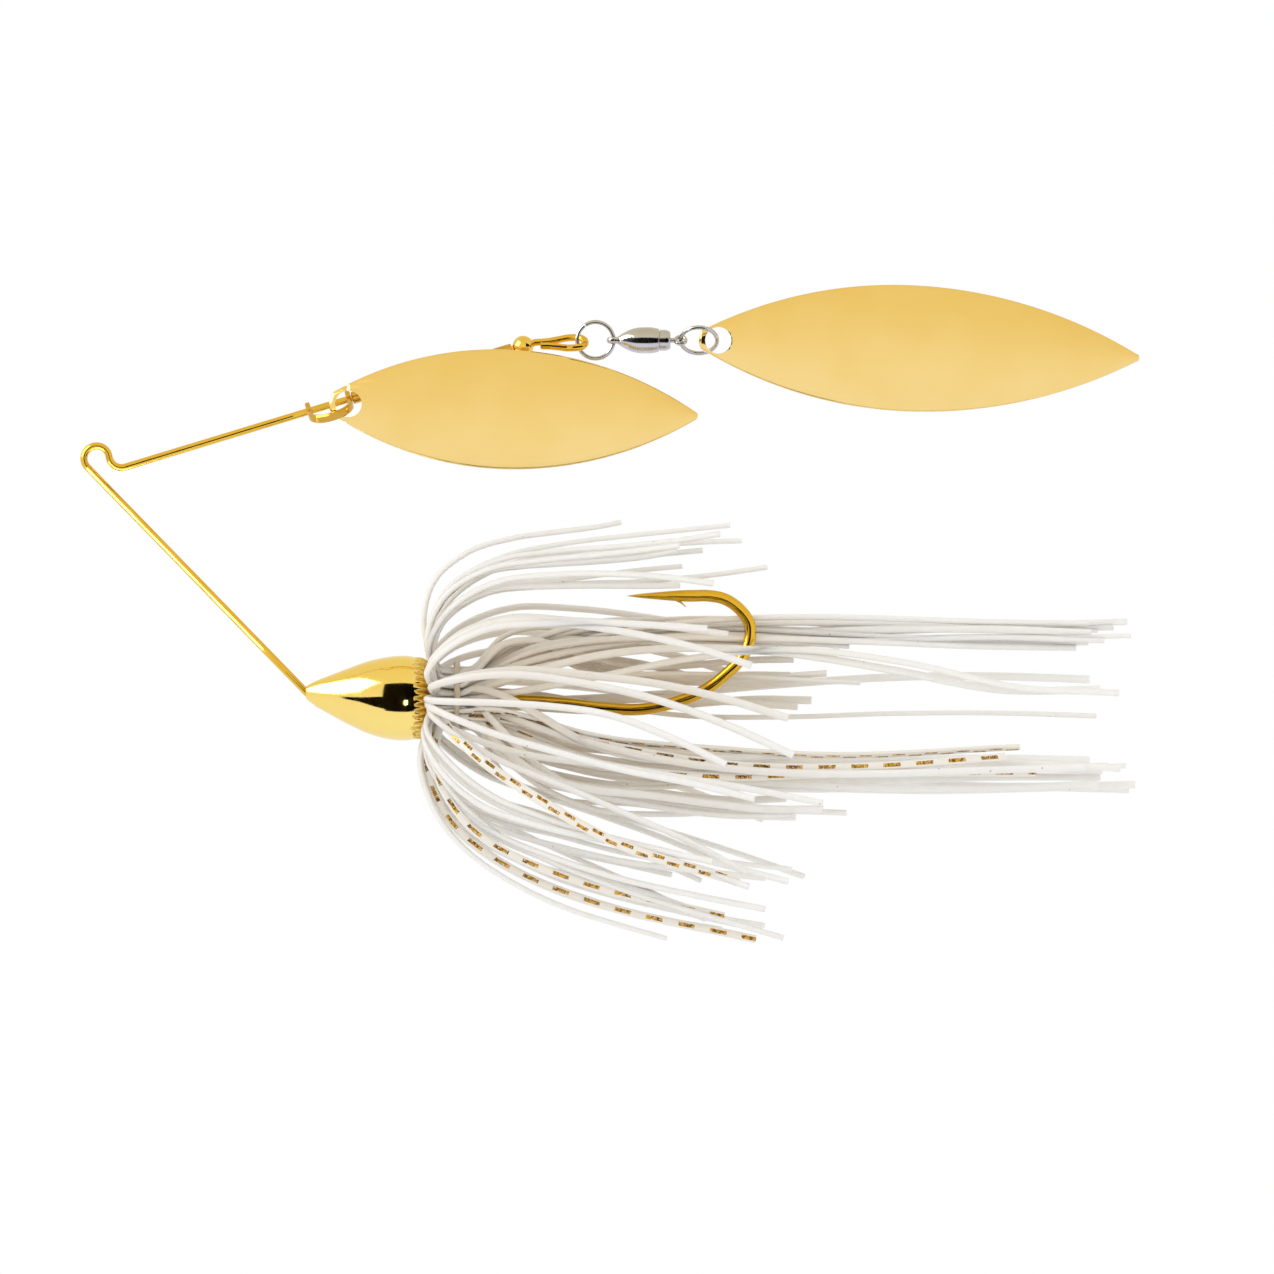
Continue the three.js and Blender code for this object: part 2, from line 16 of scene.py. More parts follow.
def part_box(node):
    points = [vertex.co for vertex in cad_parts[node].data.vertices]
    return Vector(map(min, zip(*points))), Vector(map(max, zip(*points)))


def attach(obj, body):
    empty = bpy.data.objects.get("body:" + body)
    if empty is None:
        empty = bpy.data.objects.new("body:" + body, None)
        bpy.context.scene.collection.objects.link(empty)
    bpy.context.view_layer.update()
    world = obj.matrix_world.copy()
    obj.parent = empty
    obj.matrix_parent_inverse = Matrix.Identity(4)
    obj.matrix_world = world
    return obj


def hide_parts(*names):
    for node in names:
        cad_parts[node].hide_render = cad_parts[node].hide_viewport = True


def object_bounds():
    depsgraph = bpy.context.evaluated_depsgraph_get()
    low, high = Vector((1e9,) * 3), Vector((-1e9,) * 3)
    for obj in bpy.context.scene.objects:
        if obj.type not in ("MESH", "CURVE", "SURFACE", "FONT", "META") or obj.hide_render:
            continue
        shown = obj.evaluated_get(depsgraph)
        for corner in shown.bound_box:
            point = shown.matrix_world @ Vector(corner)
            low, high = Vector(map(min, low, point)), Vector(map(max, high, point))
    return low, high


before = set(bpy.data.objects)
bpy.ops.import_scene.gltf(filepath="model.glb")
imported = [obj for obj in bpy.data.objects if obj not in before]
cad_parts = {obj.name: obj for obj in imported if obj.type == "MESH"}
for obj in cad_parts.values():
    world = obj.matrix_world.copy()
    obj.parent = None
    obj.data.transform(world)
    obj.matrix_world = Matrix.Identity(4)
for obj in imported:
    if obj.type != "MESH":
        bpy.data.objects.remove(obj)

MM = 0.001
HEAD_X = -29.4  # the axis of head, skirt and hook shank
CAD_LOW, CAD_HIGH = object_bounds()


def low_mm(node):
    return np.array(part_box(node)[0]) / MM


def high_mm(node):
    return np.array(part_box(node)[1]) / MM


def middle_mm(node):
    return (low_mm(node) + high_mm(node)) / 2


def in_scene(name, data):
    made = bpy.data.objects.new(name, data)
    bpy.context.scene.collection.objects.link(made)
    return made


# ---- Camera: level, looking along +Y, rolled so that the lure's nose points left ----
FRAME_WIDTH = 0.1563
CAMERA_DISTANCE = 0.6
FRAME_MIDDLE = Vector((-0.0219, 0.0, -0.0663))

camera_data = bpy.data.cameras.new("camera")
camera_data.type = "ORTHO"
camera_data.ortho_scale = FRAME_WIDTH
camera_data.clip_start, camera_data.clip_end = 0.01, 10.0
camera = in_scene("camera", camera_data)
image_right, image_up, back = Vector((0, 0, -1)), Vector((1, 0, 0)), Vector((0, -1, 0))
camera.matrix_world = Matrix.Translation(FRAME_MIDDLE + back * CAMERA_DISTANCE) @ (
    Matrix((image_right, image_up, back)).transposed().to_4x4())
bpy.context.scene.camera = camera
bpy.context.scene.view_settings.view_transform = "Standard"


# ---- Paths and swept shapes ----
def smooth_path(points, per_span):
    """A centripetal Catmull-Rom curve through the points, with per_span steps between each two."""
    p = np.array(points, float)
    p = np.vstack([2 * p[0] - p[1], p, 2 * p[-1] - p[-2]])
    out = [p[1]]
    for i in range(1, len(p) - 2):
        p0, p1, p2, p3 = p[i - 1:i + 3]
        d0, d1, d2 = (max(np.linalg.norm(b - a), 1e-6) ** 0.5 for a, b in ((p0, p1), (p1, p2), (p2, p3)))
        t1 = ((p1 - p0) / d0 - (p2 - p0) / (d0 + d1) + (p2 - p1) / d1) * d1
        t2 = ((p2 - p1) / d1 - (p3 - p1) / (d1 + d2) + (p3 - p2) / d2) * d1
        for k in range(1, per_span + 1):
            t = k / per_span
            out.append(p1 + t1 * t + (3 * (p2 - p1) - 2 * t1 - t2) * t * t
                       + (2 * (p1 - p2) + t1 + t2) * t ** 3)
    return np.array(out)


def unit(v):
    return v / np.linalg.norm(v)


def moving_frames(path, normal):
    """Normals and binormals that turn no more than the path makes them."""
    tangents = np.gradient(path, axis=0)
    tangents /= np.linalg.norm(tangents, axis=1)[:, None]
    n = np.array(normal, float)
    if abs(n @ tangents[0]) > 0.95 * np.linalg.norm(n):
        n = np.array((1.0, 0.0, 0.0))
    normals = []
    for t in tangents:
        n = unit(n - (n @ t) * t)
        normals.append(n)
    normals = np.array(normals)
    return normals, np.cross(tangents, normals)


class Shape:
    """Vertices in mm, faces and face UVs, gathered from several shells."""

    def __init__(self):
        self.verts, self.faces, self.uvs = [], [], []

    def add(self, verts, faces, uvs):
        start = sum(len(v) for v in self.verts)
        self.verts.append(np.array(verts, float))
        self.faces += [[start + i for i in f] for f in faces]
        self.uvs += uvs

    def mesh(self, name):
        made = bpy.data.meshes.new(name)
        made.from_pydata((np.vstack(self.verts) * MM).tolist(), [], self.faces)
        return made

    def place(self, matrix):
        m = np.array(matrix, float)
        self.verts = [v @ m[:3, :3].T + m[:3, 3] for v in self.verts]
        return self


def circle(radius, sides):
    a = np.arange(sides) * 2 * math.pi / sides
    return np.column_stack([radius * np.cos(a), radius * np.sin(a)])


def rounded_bar(width, thickness, corner=0.3):
    """The section of a flat strand or strap, its corners cut by a share of the thickness."""
    w, t, c = width / 2, thickness / 2, thickness * corner
    return np.array([(w, -t + c), (w, t - c), (w - c, t), (-w + c, t),
                     (-w, t - c), (-w, -t + c), (-w + c, -t), (w - c, -t)])


def sweep(shape, path, section, scale=None, normal=(0, 1, 0), twist=None, loop=False):
    """Adds a tube of that section along the path. U runs round it and V is the length in mm."""
    normals, binormals = moving_frames(path, normal)
    count, sides = len(path), len(section)
    scale = np.ones(count) if scale is None else np.asarray(scale, float)
    if scale.ndim == 1:
        scale = np.column_stack([scale, scale])
    turn = np.zeros(count) if twist is None else np.asarray(twist, float)
    c, s = np.cos(turn)[:, None], np.sin(turn)[:, None]
    wide, thick = normals * c + binormals * s, binormals * c - normals * s
    rings = (path[:, None, :] + section[None, :, :1] * scale[:, None, :1] * wide[:, None, :]
             + section[None, :, 1:] * scale[:, None, 1:] * thick[:, None, :])
    along = np.concatenate([[0], np.cumsum(np.linalg.norm(np.diff(path, axis=0), axis=1))])
    faces, uvs = [], []
    for i in range(count if loop else count - 1):
        n = (i + 1) % count
        for j in range(sides):
            k = (j + 1) % sides
            faces.append([i * sides + j, i * sides + k, n * sides + k, n * sides + j])
            v0, v1 = along[i], along[n] if n else along[-1] + along[1]
            uvs.append([(j / sides, v0), ((j + 1) / sides, v0), ((j + 1) / sides, v1), (j / sides, v1)])
    if not loop:
        for i, order in ((0, range(sides - 1, -1, -1)), (count - 1, range(sides))):
            faces.append([i * sides + j for j in order])
            uvs.append([(0.5, along[i])] * sides)
    shape.add(rings.reshape(-1, 3), faces, uvs)
    return shape


def lathe(profile, segments, ripple=None):
    """A closed solid of revolution about local Z, from (radius, z) points. ripple(z, angle) scales it."""
    shape = Shape()
    profile = np.array(profile, float)
    verts, rows = [], []
    for r, z in profile:
        if r < 1e-6:
            rows.append([len(verts)] * segments)
            verts.append((0, 0, z))
            continue
        rows.append(list(range(len(verts), len(verts) + segments)))
        for k in range(segments):
            a = 2 * math.pi * k / segments
            f = ripple(z, a) if ripple else 1.0
            verts.append((r * f * math.cos(a), r * f * math.sin(a), z))
    faces, uvs = [], []
    closed = profile[0][0] > 1e-6
    for i in range(len(rows) if closed else len(rows) - 1):
        a, b = rows[i], rows[(i + 1) % len(rows)]
        for k in range(segments):
            m = (k + 1) % segments
            quad = [a[k], a[m], b[m], b[k]]
            u0, u1 = k / segments, (k + 1) / segments
            v0, v1 = profile[i][1], profile[(i + 1) % len(rows)][1]
            corners = [(u0, v0), (u1, v0), (u1, v1), (u0, v1)]
            keep = [n for n in range(4) if quad[n] != quad[n - 1]]
            faces.append([quad[n] for n in keep])
            uvs.append([corners[n] for n in keep])
    shape.add(verts, faces, uvs)
    return shape


def aimed(origin, axis, side):
    """The matrix that turns local Z to `axis` and local X toward `side`."""
    z = unit(np.array(axis, float))
    x = np.array(side, float)
    x = unit(x - (x @ z) * z)
    y = np.cross(z, x)
    m = np.eye(4)
    m[:3, 0], m[:3, 1], m[:3, 2], m[:3, 3] = x, y, z, origin
    return m


def make_piece(name, shape, material, body, nodes=(), sharp=40):
    """A mesh object from a shape, riding on its body and standing for its CAD nodes."""
    mesh = shape.mesh(name)
    layer = mesh.uv_layers.new(name="run")
    layer.data.foreach_set("uv", np.array([c for face in shape.uvs for c in face], float).ravel())
    return finish_piece(name, mesh, material, body, nodes, sharp)


def finish_piece(name, mesh, material, body, nodes, sharp):
    work = bmesh.new()
    work.from_mesh(mesh)
    bmesh.ops.recalc_face_normals(work, faces=work.faces)
    work.to_mesh(mesh)
    work.free()
    mesh.polygons.foreach_set("use_smooth", [True] * len(mesh.polygons))
    mesh.set_sharp_from_angle(angle=math.radians(sharp))
    mesh.materials.append(material)
    piece = in_scene(name, mesh)
    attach(piece, body)
    if nodes:
        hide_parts(*nodes)
    return piece


# ---- Materials ----
class Nodes:
    """Short ways to add nodes to a tree."""

    def __init__(self, tree):
        self.tree = tree

    def node(self, kind, **values):
        made = self.tree.nodes.new(kind)
        for key, value in values.items():
            if key.startswith("in_"):
                made.inputs[key.removeprefix("in_")].default_value = value
            else:
                setattr(made, key, value)
        return made

    def link(self, source, target):
        self.tree.links.new(source, target)

    def coords(self, kind="Object", scale=(1, 1, 1)):
        where = self.node("ShaderNodeTexCoord")
        mapping = self.node("ShaderNodeMapping")
        mapping.inputs["Scale"].default_value = scale
        self.link(where.outputs[kind], mapping.inputs["Vector"])
        return mapping.outputs["Vector"]

    def noise(self, vector, scale, detail=2.0, rough=0.5):
        made = self.node("ShaderNodeTexNoise", in_Scale=scale, in_Detail=detail, in_Roughness=rough)
        self.link(vector, made.inputs["Vector"])
        return made.outputs["Fac"]

    def spread(self, value, low, high, start=0.3, end=0.7):
        made = self.node("ShaderNodeMapRange")
        for key, number in (("From Min", start), ("From Max", end), ("To Min", low), ("To Max", high)):
            made.inputs[key].default_value = number
        self.link(value, made.inputs["Value"])
        return made.outputs["Result"]

    def blend(self, factor, first, second):
        made = self.node("ShaderNodeMix", data_type="RGBA")
        self.link(factor, made.inputs["Factor"])
        for index, value in ((6, first), (7, second)):
            if isinstance(value, tuple):
                made.inputs[index].default_value = (*value, 1.0)
            else:
                self.link(value, made.inputs[index])
        return made.outputs[2]

    def math(self, operation, first, second=None):
        made = self.node("ShaderNodeMath", operation=operation)
        for index, value in enumerate((first, second)):
            if value is None:
                continue
            if isinstance(value, (int, float)):
                made.inputs[index].default_value = value
            else:
                self.link(value, made.inputs[index])
        return made.outputs[0]


class Recipe(Nodes):
    """A material with its shader."""

    def __init__(self, name):
        self.material = bpy.data.materials.new(name)
        self.material.use_nodes = True
        super().__init__(self.material.node_tree)
        self.shader = self.tree.nodes["Principled BSDF"]

    def set(self, **values):
        for key, value in values.items():
            self.shader.inputs[key.replace("_", " ")].default_value = value

    def bump(self, height, distance, strength=1.0):
        made = self.node("ShaderNodeBump", in_Strength=strength, in_Distance=distance)
        self.link(height, made.inputs["Height"])
        self.link(made.outputs["Normal"], self.shader.inputs["Normal"])


def plated(name, light, deep, roughness, grain, bump):
    """A plated metal: two tones, a roughness that wanders, and fine grain along one direction."""
    r = Recipe(name)
    r.set(Metallic=1.0)
    broad = r.noise(r.coords(), 160.0, 3.0)
    fine = r.noise(r.coords("Object", grain), 1.0, 4.0, 0.6)
    r.link(r.blend(r.spread(broad, 0.0, 1.0), light, deep), r.shader.inputs["Base Color"])
    r.link(r.spread(fine, roughness * 0.7, roughness * 1.5), r.shader.inputs["Roughness"])
    r.bump(fine, bump)
    return r.material


def drawn_wire(name, light, deep, roughness):
    """Wire: the drawing die leaves long faint lines, which follow the UV's V."""
    r = Recipe(name)
    r.set(Metallic=1.0)
    lines = r.noise(r.coords("UV", (14.0, 0.12, 1.0)), 1.0, 3.0, 0.6)
    broad = r.noise(r.coords(), 220.0, 2.0)
    r.link(r.blend(r.spread(broad, 0.0, 1.0), light, deep), r.shader.inputs["Base Color"])
    r.link(r.spread(lines, roughness * 0.6, roughness * 1.8), r.shader.inputs["Roughness"])
    r.bump(lines, 0.000012)
    return r.material


MOTTLE_SCALE, SPECK_SCALE = 700.0, 420.0  # texture cells in a metre
SPECK_EDGE = (0.04, 0.06)  # a speck's soft edge, as a share of its cell
# Painted shade deep in the skirt: full near the axis, weaker at the collar, gone toward the tails
PAINTED_SHADE_TINT = (0.95, 0.87, 0.76)  # painted shade: darkens and warms the strands deep in the skirt, standing in for shade and gold bounce light
PAINTED_SHADE_R = (5.0, 17.0)  # from the axis: full up to the first, gone beyond the second
PAINTED_SHADE_AT_COLLAR = 0.45
SHADE_COLLAR_FADE_Z, SHADE_TAIL_FADE_Z = (-50.0, -43.0), (-98.0, -72.0)


def silicone(name, light, shade):
    """Strand silicone: milky, faintly mottled, with rare specks, and with painted shade, darker and warmer,
    deep in the skirt.
    """
    r = Recipe(name)
    where = r.coords()
    mottle = r.noise(where, MOTTLE_SCALE, 4.0, 0.6)
    specks = r.node("ShaderNodeTexVoronoi", in_Scale=SPECK_SCALE)
    r.link(where, specks.inputs["Vector"])
    clean = r.spread(specks.outputs["Distance"], 0.0, 1.0, *SPECK_EDGE)
    place = r.node("ShaderNodeSeparateXYZ")
    r.link(where, place.inputs[0])
    x, y, z = (r.math("MULTIPLY", place.outputs[k], 1 / MM) for k in range(3))
    from_axis = r.math("POWER", r.math("ADD", r.math("POWER", r.math("SUBTRACT", x, HEAD_X), 2.0),
                                       r.math("POWER", y, 2.0)), 0.5)
    # Painted shade: full near the skirt's axis, weaker at the collar, gone toward the tails.
    painted_shade = r.math("MULTIPLY", r.spread(from_axis, 1.0, 0.0, *PAINTED_SHADE_R),
                    r.spread(z, 1.0, PAINTED_SHADE_AT_COLLAR, *SHADE_COLLAR_FADE_Z))
    painted_shade = r.math("MULTIPLY", painted_shade, r.spread(z, 0.0, 1.0, *SHADE_TAIL_FADE_Z))
    body = r.blend(r.spread(mottle, 0.0, 1.0), light, shade)
    body = r.blend(painted_shade, body, tuple(a * b for a, b in zip(shade, PAINTED_SHADE_TINT)))
    r.link(r.blend(clean, tuple(0.6 * c for c in shade), body), r.shader.inputs["Base Color"])
    r.link(r.spread(mottle, 0.42, 0.56), r.shader.inputs["Roughness"])
    r.set(Subsurface_Weight=0.55, Subsurface_Scale=0.0013, Subsurface_Radius=(1.0, 0.96, 0.9),
          Specular_IOR_Level=0.3)
    r.bump(mottle, 0.00002, 0.5)
    return r.material


PRINT_EDGES = {1: (0.18, 0.82), 2: (0.08, 0.92)}  # across the flat side, for one and two rows of dashes
RAGGED_ENDS = 0.16  # how far a dash's ends wander, as a share of the period
HATCH_LINE, HATCH_DEPTH, PRINT_COVER = 0.24, 0.07, 0.62
DASH_LIGHT, DASH_DEEP, CLEAR_STRAND = (0.66, 0.36, 0.035), (0.17, 0.07, 0.01), (0.84, 0.80, 0.73)


def flaked(name, period, duty, rows):
    """A clear strand printed on its flat sides with ragged gold dashes, `period` mm apart along it."""
    r = Recipe(name)
    where = r.node("ShaderNodeTexCoord")
    split = r.node("ShaderNodeSeparateXYZ")
    r.link(where.outputs["UV"], split.inputs[0])
    ragged = r.noise(r.coords("UV", (26.0, 2.6, 1.0)), 1.0, 3.0, 0.7)
    # The flat sides of rounded_bar() run from 0.5 to 0.75 of each half turn of U.
    half_turn = r.math("FRACT", r.math("MULTIPLY", split.outputs["X"], 2.0))
    across = r.math("MULTIPLY", r.math("SUBTRACT", half_turn, 0.5), 4.0)
    run = r.math("DIVIDE", split.outputs["Y"], period)
    if rows == 2:
        run = r.math("ADD", run, r.math("MULTIPLY", r.math("GREATER_THAN", across, 0.5), 0.5))
    run = r.math("ADD", run, r.math("MULTIPLY", ragged, RAGGED_ENDS))
    dash = r.math("LESS_THAN", r.math("FRACT", run), duty)
    hatch = r.math("SINE", r.math("MULTIPLY", split.outputs["Y"], 2 * math.pi / HATCH_LINE))
    solid = r.math("LESS_THAN", r.math("ADD", ragged, r.math("MULTIPLY", hatch, HATCH_DEPTH)), PRINT_COVER)
    low, high = PRINT_EDGES[rows]
    on_face = r.math("MULTIPLY", r.math("GREATER_THAN", across, low), r.math("LESS_THAN", across, high))
    mask = r.math("MULTIPLY", r.math("MULTIPLY", dash, solid), on_face)
    tone = r.noise(r.coords("UV", (12.0, 2.4, 1.0)), 1.0, 2.0)
    leaf = r.blend(r.spread(tone, 0.0, 1.0, 0.42, 0.6), DASH_LIGHT, DASH_DEEP)
    r.link(r.blend(mask, CLEAR_STRAND, leaf), r.shader.inputs["Base Color"])
    r.link(r.math("MULTIPLY", mask, 0.7), r.shader.inputs["Metallic"])
    r.link(r.spread(ragged, 0.3, 0.45), r.shader.inputs["Roughness"])
    r.set(Subsurface_Weight=0.3, Subsurface_Scale=0.001, Subsurface_Radius=(1.0, 0.78, 0.55))
    r.bump(mask, 0.00001, 0.5)
    return r.material


LENGTHWISE = (2600.0, 2600.0, 90.0)  # grain along Z, as on a hanging blade
ROUND_ABOUT = (260.0, 260.0, 2600.0)  # grain round Z, as on turned or cast work
blade_gold = plated("blade_gold", (0.90, 0.635, 0.215), (0.885, 0.605, 0.185), 0.12, LENGTHWISE, 0.0000006)
head_gold = plated("head_gold", (0.95, 0.70, 0.20), (0.92, 0.65, 0.16), 0.08, ROUND_ABOUT, 0.000004)
fitting_gold = plated("fitting_gold", (0.91, 0.60, 0.12), (0.85, 0.52, 0.08), 0.12, ROUND_ABOUT, 0.000003)
# A darker copy of fitting_gold for the clevis and sleeve: painted shade, in place of the darker reflections
# they show.
fitting_gold_painted_shade = plated("fitting_gold_painted_shade", (0.72, 0.43, 0.07), (0.56, 0.30, 0.03), 0.16, ROUND_ABOUT, 0.000006)
wire_gold = drawn_wire("wire_gold", (0.84, 0.51, 0.065), (0.78, 0.45, 0.045), 0.11)
hook_gold = drawn_wire("hook_gold", (0.82, 0.49, 0.045), (0.76, 0.43, 0.03), 0.09)
nickel = plated("nickel", (0.60, 0.565, 0.535), (0.50, 0.47, 0.44), 0.16, ROUND_ABOUT, 0.000004)
white_silicone = silicone("white_silicone", (0.88, 0.865, 0.84), (0.845, 0.825, 0.795))
# The band's colour is partly tan latex and partly painted shade: darkened to blend with the shade among the
# strands.
band_latex_painted_shade = silicone("band_latex_painted_shade", (0.66, 0.60, 0.50), (0.58, 0.52, 0.42))
flake_dashes = flaked("flake_dashes", 4.0, 0.52, 1)
flake_pairs = flaked("flake_pairs", 4.0, 0.38, 2)


# ---- Wire form ----
WIRE_R = 0.44
BEND_R = 1.55
HEAD_ARM_ANGLE, BLADE_ARM_ANGLE, TIE_NECK_ANGLE = -45.8, 16.9, -82.0
HEAD_ARM_LENGTH, HEAD_BEND_R, HEAD_ARM_END, BLADE_ARM_LENGTH = 40.0, 2.5, 5.9, 52.6
EYE_HEADING, EYE_TURN, EYE_LEG_GAP, EYE_END_R, EYE_LENGTH = 2.4, 60.0, 0.96, 1.3, 6.1


def heading(deg):
    a = math.radians(deg)
    return np.array((math.sin(a), 0.0, -math.cos(a)))


def toward_turn(deg):
    a = math.radians(deg)
    return np.array((math.cos(a), 0.0, math.sin(a)))


def bend(start, angle, moves, step=5.0):
    """The centre line of a wire that leaves start at that heading and makes straight and turning moves."""
    point = np.array(start, float)
    out = [point]
    for length, radius, turn in moves:
        if length:
            count = max(2, int(length / 2))
            for k in range(1, count + 1):
                out.append(point + heading(angle) * length * k / count)
            point = out[-1]
            continue
        side = math.copysign(radius, turn)
        centre = point + toward_turn(angle) * side
        count = max(2, math.ceil(abs(turn) / step))
        for k in range(1, count + 1):
            out.append(centre - toward_turn(angle + turn * k / count) * side)
        point = out[-1]
        angle += turn
    return out


tie_start = toward_turn(HEAD_ARM_ANGLE + 180) * BEND_R
into_loop = HEAD_ARM_ANGLE + 180
head_branch = bend(tie_start, HEAD_ARM_ANGLE, [
    (HEAD_ARM_LENGTH, 0, 0), (0, HEAD_BEND_R, -HEAD_ARM_ANGLE), (HEAD_ARM_END, 0, 0)])
arm_branch = bend(tie_start, into_loop, [
    (0, BEND_R, TIE_NECK_ANGLE - into_loop), (0, BEND_R, BLADE_ARM_ANGLE - TIE_NECK_ANGLE),
    (BLADE_ARM_LENGTH, 0, 0)])
arm_end = arm_branch[-1]
arm_direction = heading(BLADE_ARM_ANGLE)
arm_start = arm_end - arm_direction * BLADE_ARM_LENGTH


def on_arm(distance):
    return arm_start + arm_direction * distance


def eye_path():
    """The closed end eye, which comes back beside the arm."""
    turn = math.radians(EYE_TURN)
    along = heading(EYE_HEADING)
    across = -math.cos(turn) * toward_turn(EYE_HEADING) + np.array((0, -math.sin(turn), 0))
    half, centre = EYE_LEG_GAP / 2, EYE_LENGTH - EYE_END_R
    leg = [(0.6, half), (1.6, half + 0.1), (2.8, half + 0.42), (4.0, EYE_END_R - 0.05)]
    end = [(centre + EYE_END_R * math.cos(math.radians(d)), EYE_END_R * math.sin(math.radians(d)))
           for d in (-60, -30, 0, 30, 60)]
    points = [(p, -q) for p, q in leg] + end + leg[::-1]
    return smooth_path([arm_end + along * p + across * (q + half) for p, q in points], 8)


wire_path = np.array(head_branch[::-1] + arm_branch[1:] + list(eye_path()))
wire_ends = np.ones(len(wire_path))
wire_ends[-1] = 0.7
wire_shape = sweep(Shape(), wire_path, circle(WIRE_R, 24), scale=wire_ends)
make_piece("wire_form", wire_shape, wire_gold, "frame", ["wire_frame"])

# ---- Hook ----
HOOK_R = 0.73
HOOK_ROUTE = [
    (-29.4, -36.0), (-29.5, -47.0), (-30.0, -56.9), (-30.6, -62.0), (-30.75, -67.0), (-29.6, -72.0),
    (-28.3, -74.8), (-26.3, -77.4), (-24.4, -79.2), (-22.3, -80.1), (-20.3, -80.1), (-18.6, -79.0),
    (-17.3, -77.2), (-16.85, -75.2), (-16.85, -72.9)]
SPEAR = [(0.6, 0.72), (1.4, 0.68), (2.2, 0.62), (3.4, 0.52), (4.6, 0.41), (5.6, 0.32), (6.6, 0.20),
         (7.4, 0.09), (7.8, 0.02)]  # height above the route's end, and the radius there
BARB = [(0.1, 3.3), (-0.30, 2.2), (-0.72, 1.35), (-1.35, 0.6)]  # from the route's end to the barb's tip


def hook_shape():
    shape = Shape()
    route = [(x, 0.0, z) for x, z in HOOK_ROUTE]
    path = smooth_path(route, 8)
    radii = [HOOK_R] * len(path)
    x, _, z = path[-1]
    path = np.vstack([path, [(x, 0.0, z + up) for up, _ in SPEAR]])
    radii += [r for _, r in SPEAR]
    sweep(shape, path, circle(1.0, 28), scale=radii)
    barb = smooth_path([(x + out, 0, z + up) for out, up in BARB], 5)
    taper = np.linspace(1, 0, len(barb))
    radii = np.column_stack([0.08 + 0.30 * taper ** 0.7, 0.05 + 0.30 * taper])
    return sweep(shape, barb, circle(1.0, 14), scale=radii)


make_piece("hook_round_bend", hook_shape(), hook_gold, "frame", ["hook"])

# ---- Head: smooth nose, fluted shoulder, keeper under the skirt ----
NOSE_Z = high_mm("head")[2]
HEAD_PROFILE = [
    (0.0, 0.0), (0.42, 0.02), (0.75, 0.12), (1.05, 0.5), (1.5, 1.2), (2.5, 3.2), (3.6, 5.6), (4.45, 7.7),
    (4.95, 9.6), (5.18, 11.2), (5.2, 12.3), (5.12, 13.1), (4.95, 13.8), (4.72, 14.5), (4.3, 15.1),
    (3.7, 15.6), (3.0, 16.0)]  # radius, and distance back from the nose
KEEPER_PROFILE = [(2.2, 16.15), (2.05, 16.3), (2.05, 20.6), (1.75, 21.2), (0.0, 21.2)]
NOSE_SKEW, NOSE_SKEW_LENGTH = 0.7, 12.0  # the nose leans to the side that the wire comes in from
FLUTES = 38
FLUTE_DEPTH, FLUTE_LEVEL = 0.13, 0.72  # share of the radius, and the height on a flute that keeps the radius
FLUTE_FROM, FLUTE_FULL, FLUTE_END = 13.5, 14.2, 16.1


def flutes(z, angle):
    back = NOSE_Z - z
    if back < FLUTE_FROM or back > FLUTE_END:
        return 1.0
    ramp = min(1.0, (back - FLUTE_FROM) / (FLUTE_FULL - FLUTE_FROM))
    return 1.0 + FLUTE_DEPTH * ramp * (abs(math.cos(FLUTES * angle / 2)) - FLUTE_LEVEL)


def head_shape():
    nose = smooth_path([(r, back, 0) for r, back in HEAD_PROFILE[1:]], 4)
    profile = [(0.0, 0.0)] + [(r, back) for r, back, _ in nose] + KEEPER_PROFILE
    shape = lathe([(r, NOSE_Z - back) for r, back in profile], FLUTES * 8, flutes)
    for verts in shape.verts:
        verts[:, 0] += NOSE_SKEW * np.clip(1 - (NOSE_Z - verts[:, 2]) / NOSE_SKEW_LENGTH, 0, 1) ** 2
    return shape.place(Matrix.Translation((HEAD_X, 0, 0)))


make_piece("head_casting", head_shape(), head_gold, "frame", ["head"], sharp=50)

# ---- Clevis, sleeve and bead ----
CLEVIS_AT, CLEVIS_SPAN, CLEVIS_DEPTH, CLEVIS_TURN = 23.6, 5.1, 4.7, 18.0
CLEVIS_STRAP, CLEVIS_WIDTH, CLEVIS_EAR_R = 0.6, 1.05, 1.1
BORE_R = WIRE_R + 0.06
turn = math.radians(CLEVIS_TURN)
clevis_out = np.array((0, -math.cos(turn), 0)) - math.sin(turn) * toward_turn(BLADE_ARM_ANGLE)
clevis_side = np.cross(arm_direction, clevis_out)


def washer(inner, outer, low, high, edge, segments=40):
    """A flat ring with eased edges, about local Z."""
    profile = [(inner, low + edge), (inner, high - edge), (inner + edge, high), (outer - edge, high),
               (outer, high - edge), (outer, low + edge), (outer - edge, low), (inner + edge, low)]
    return lathe(profile, segments)


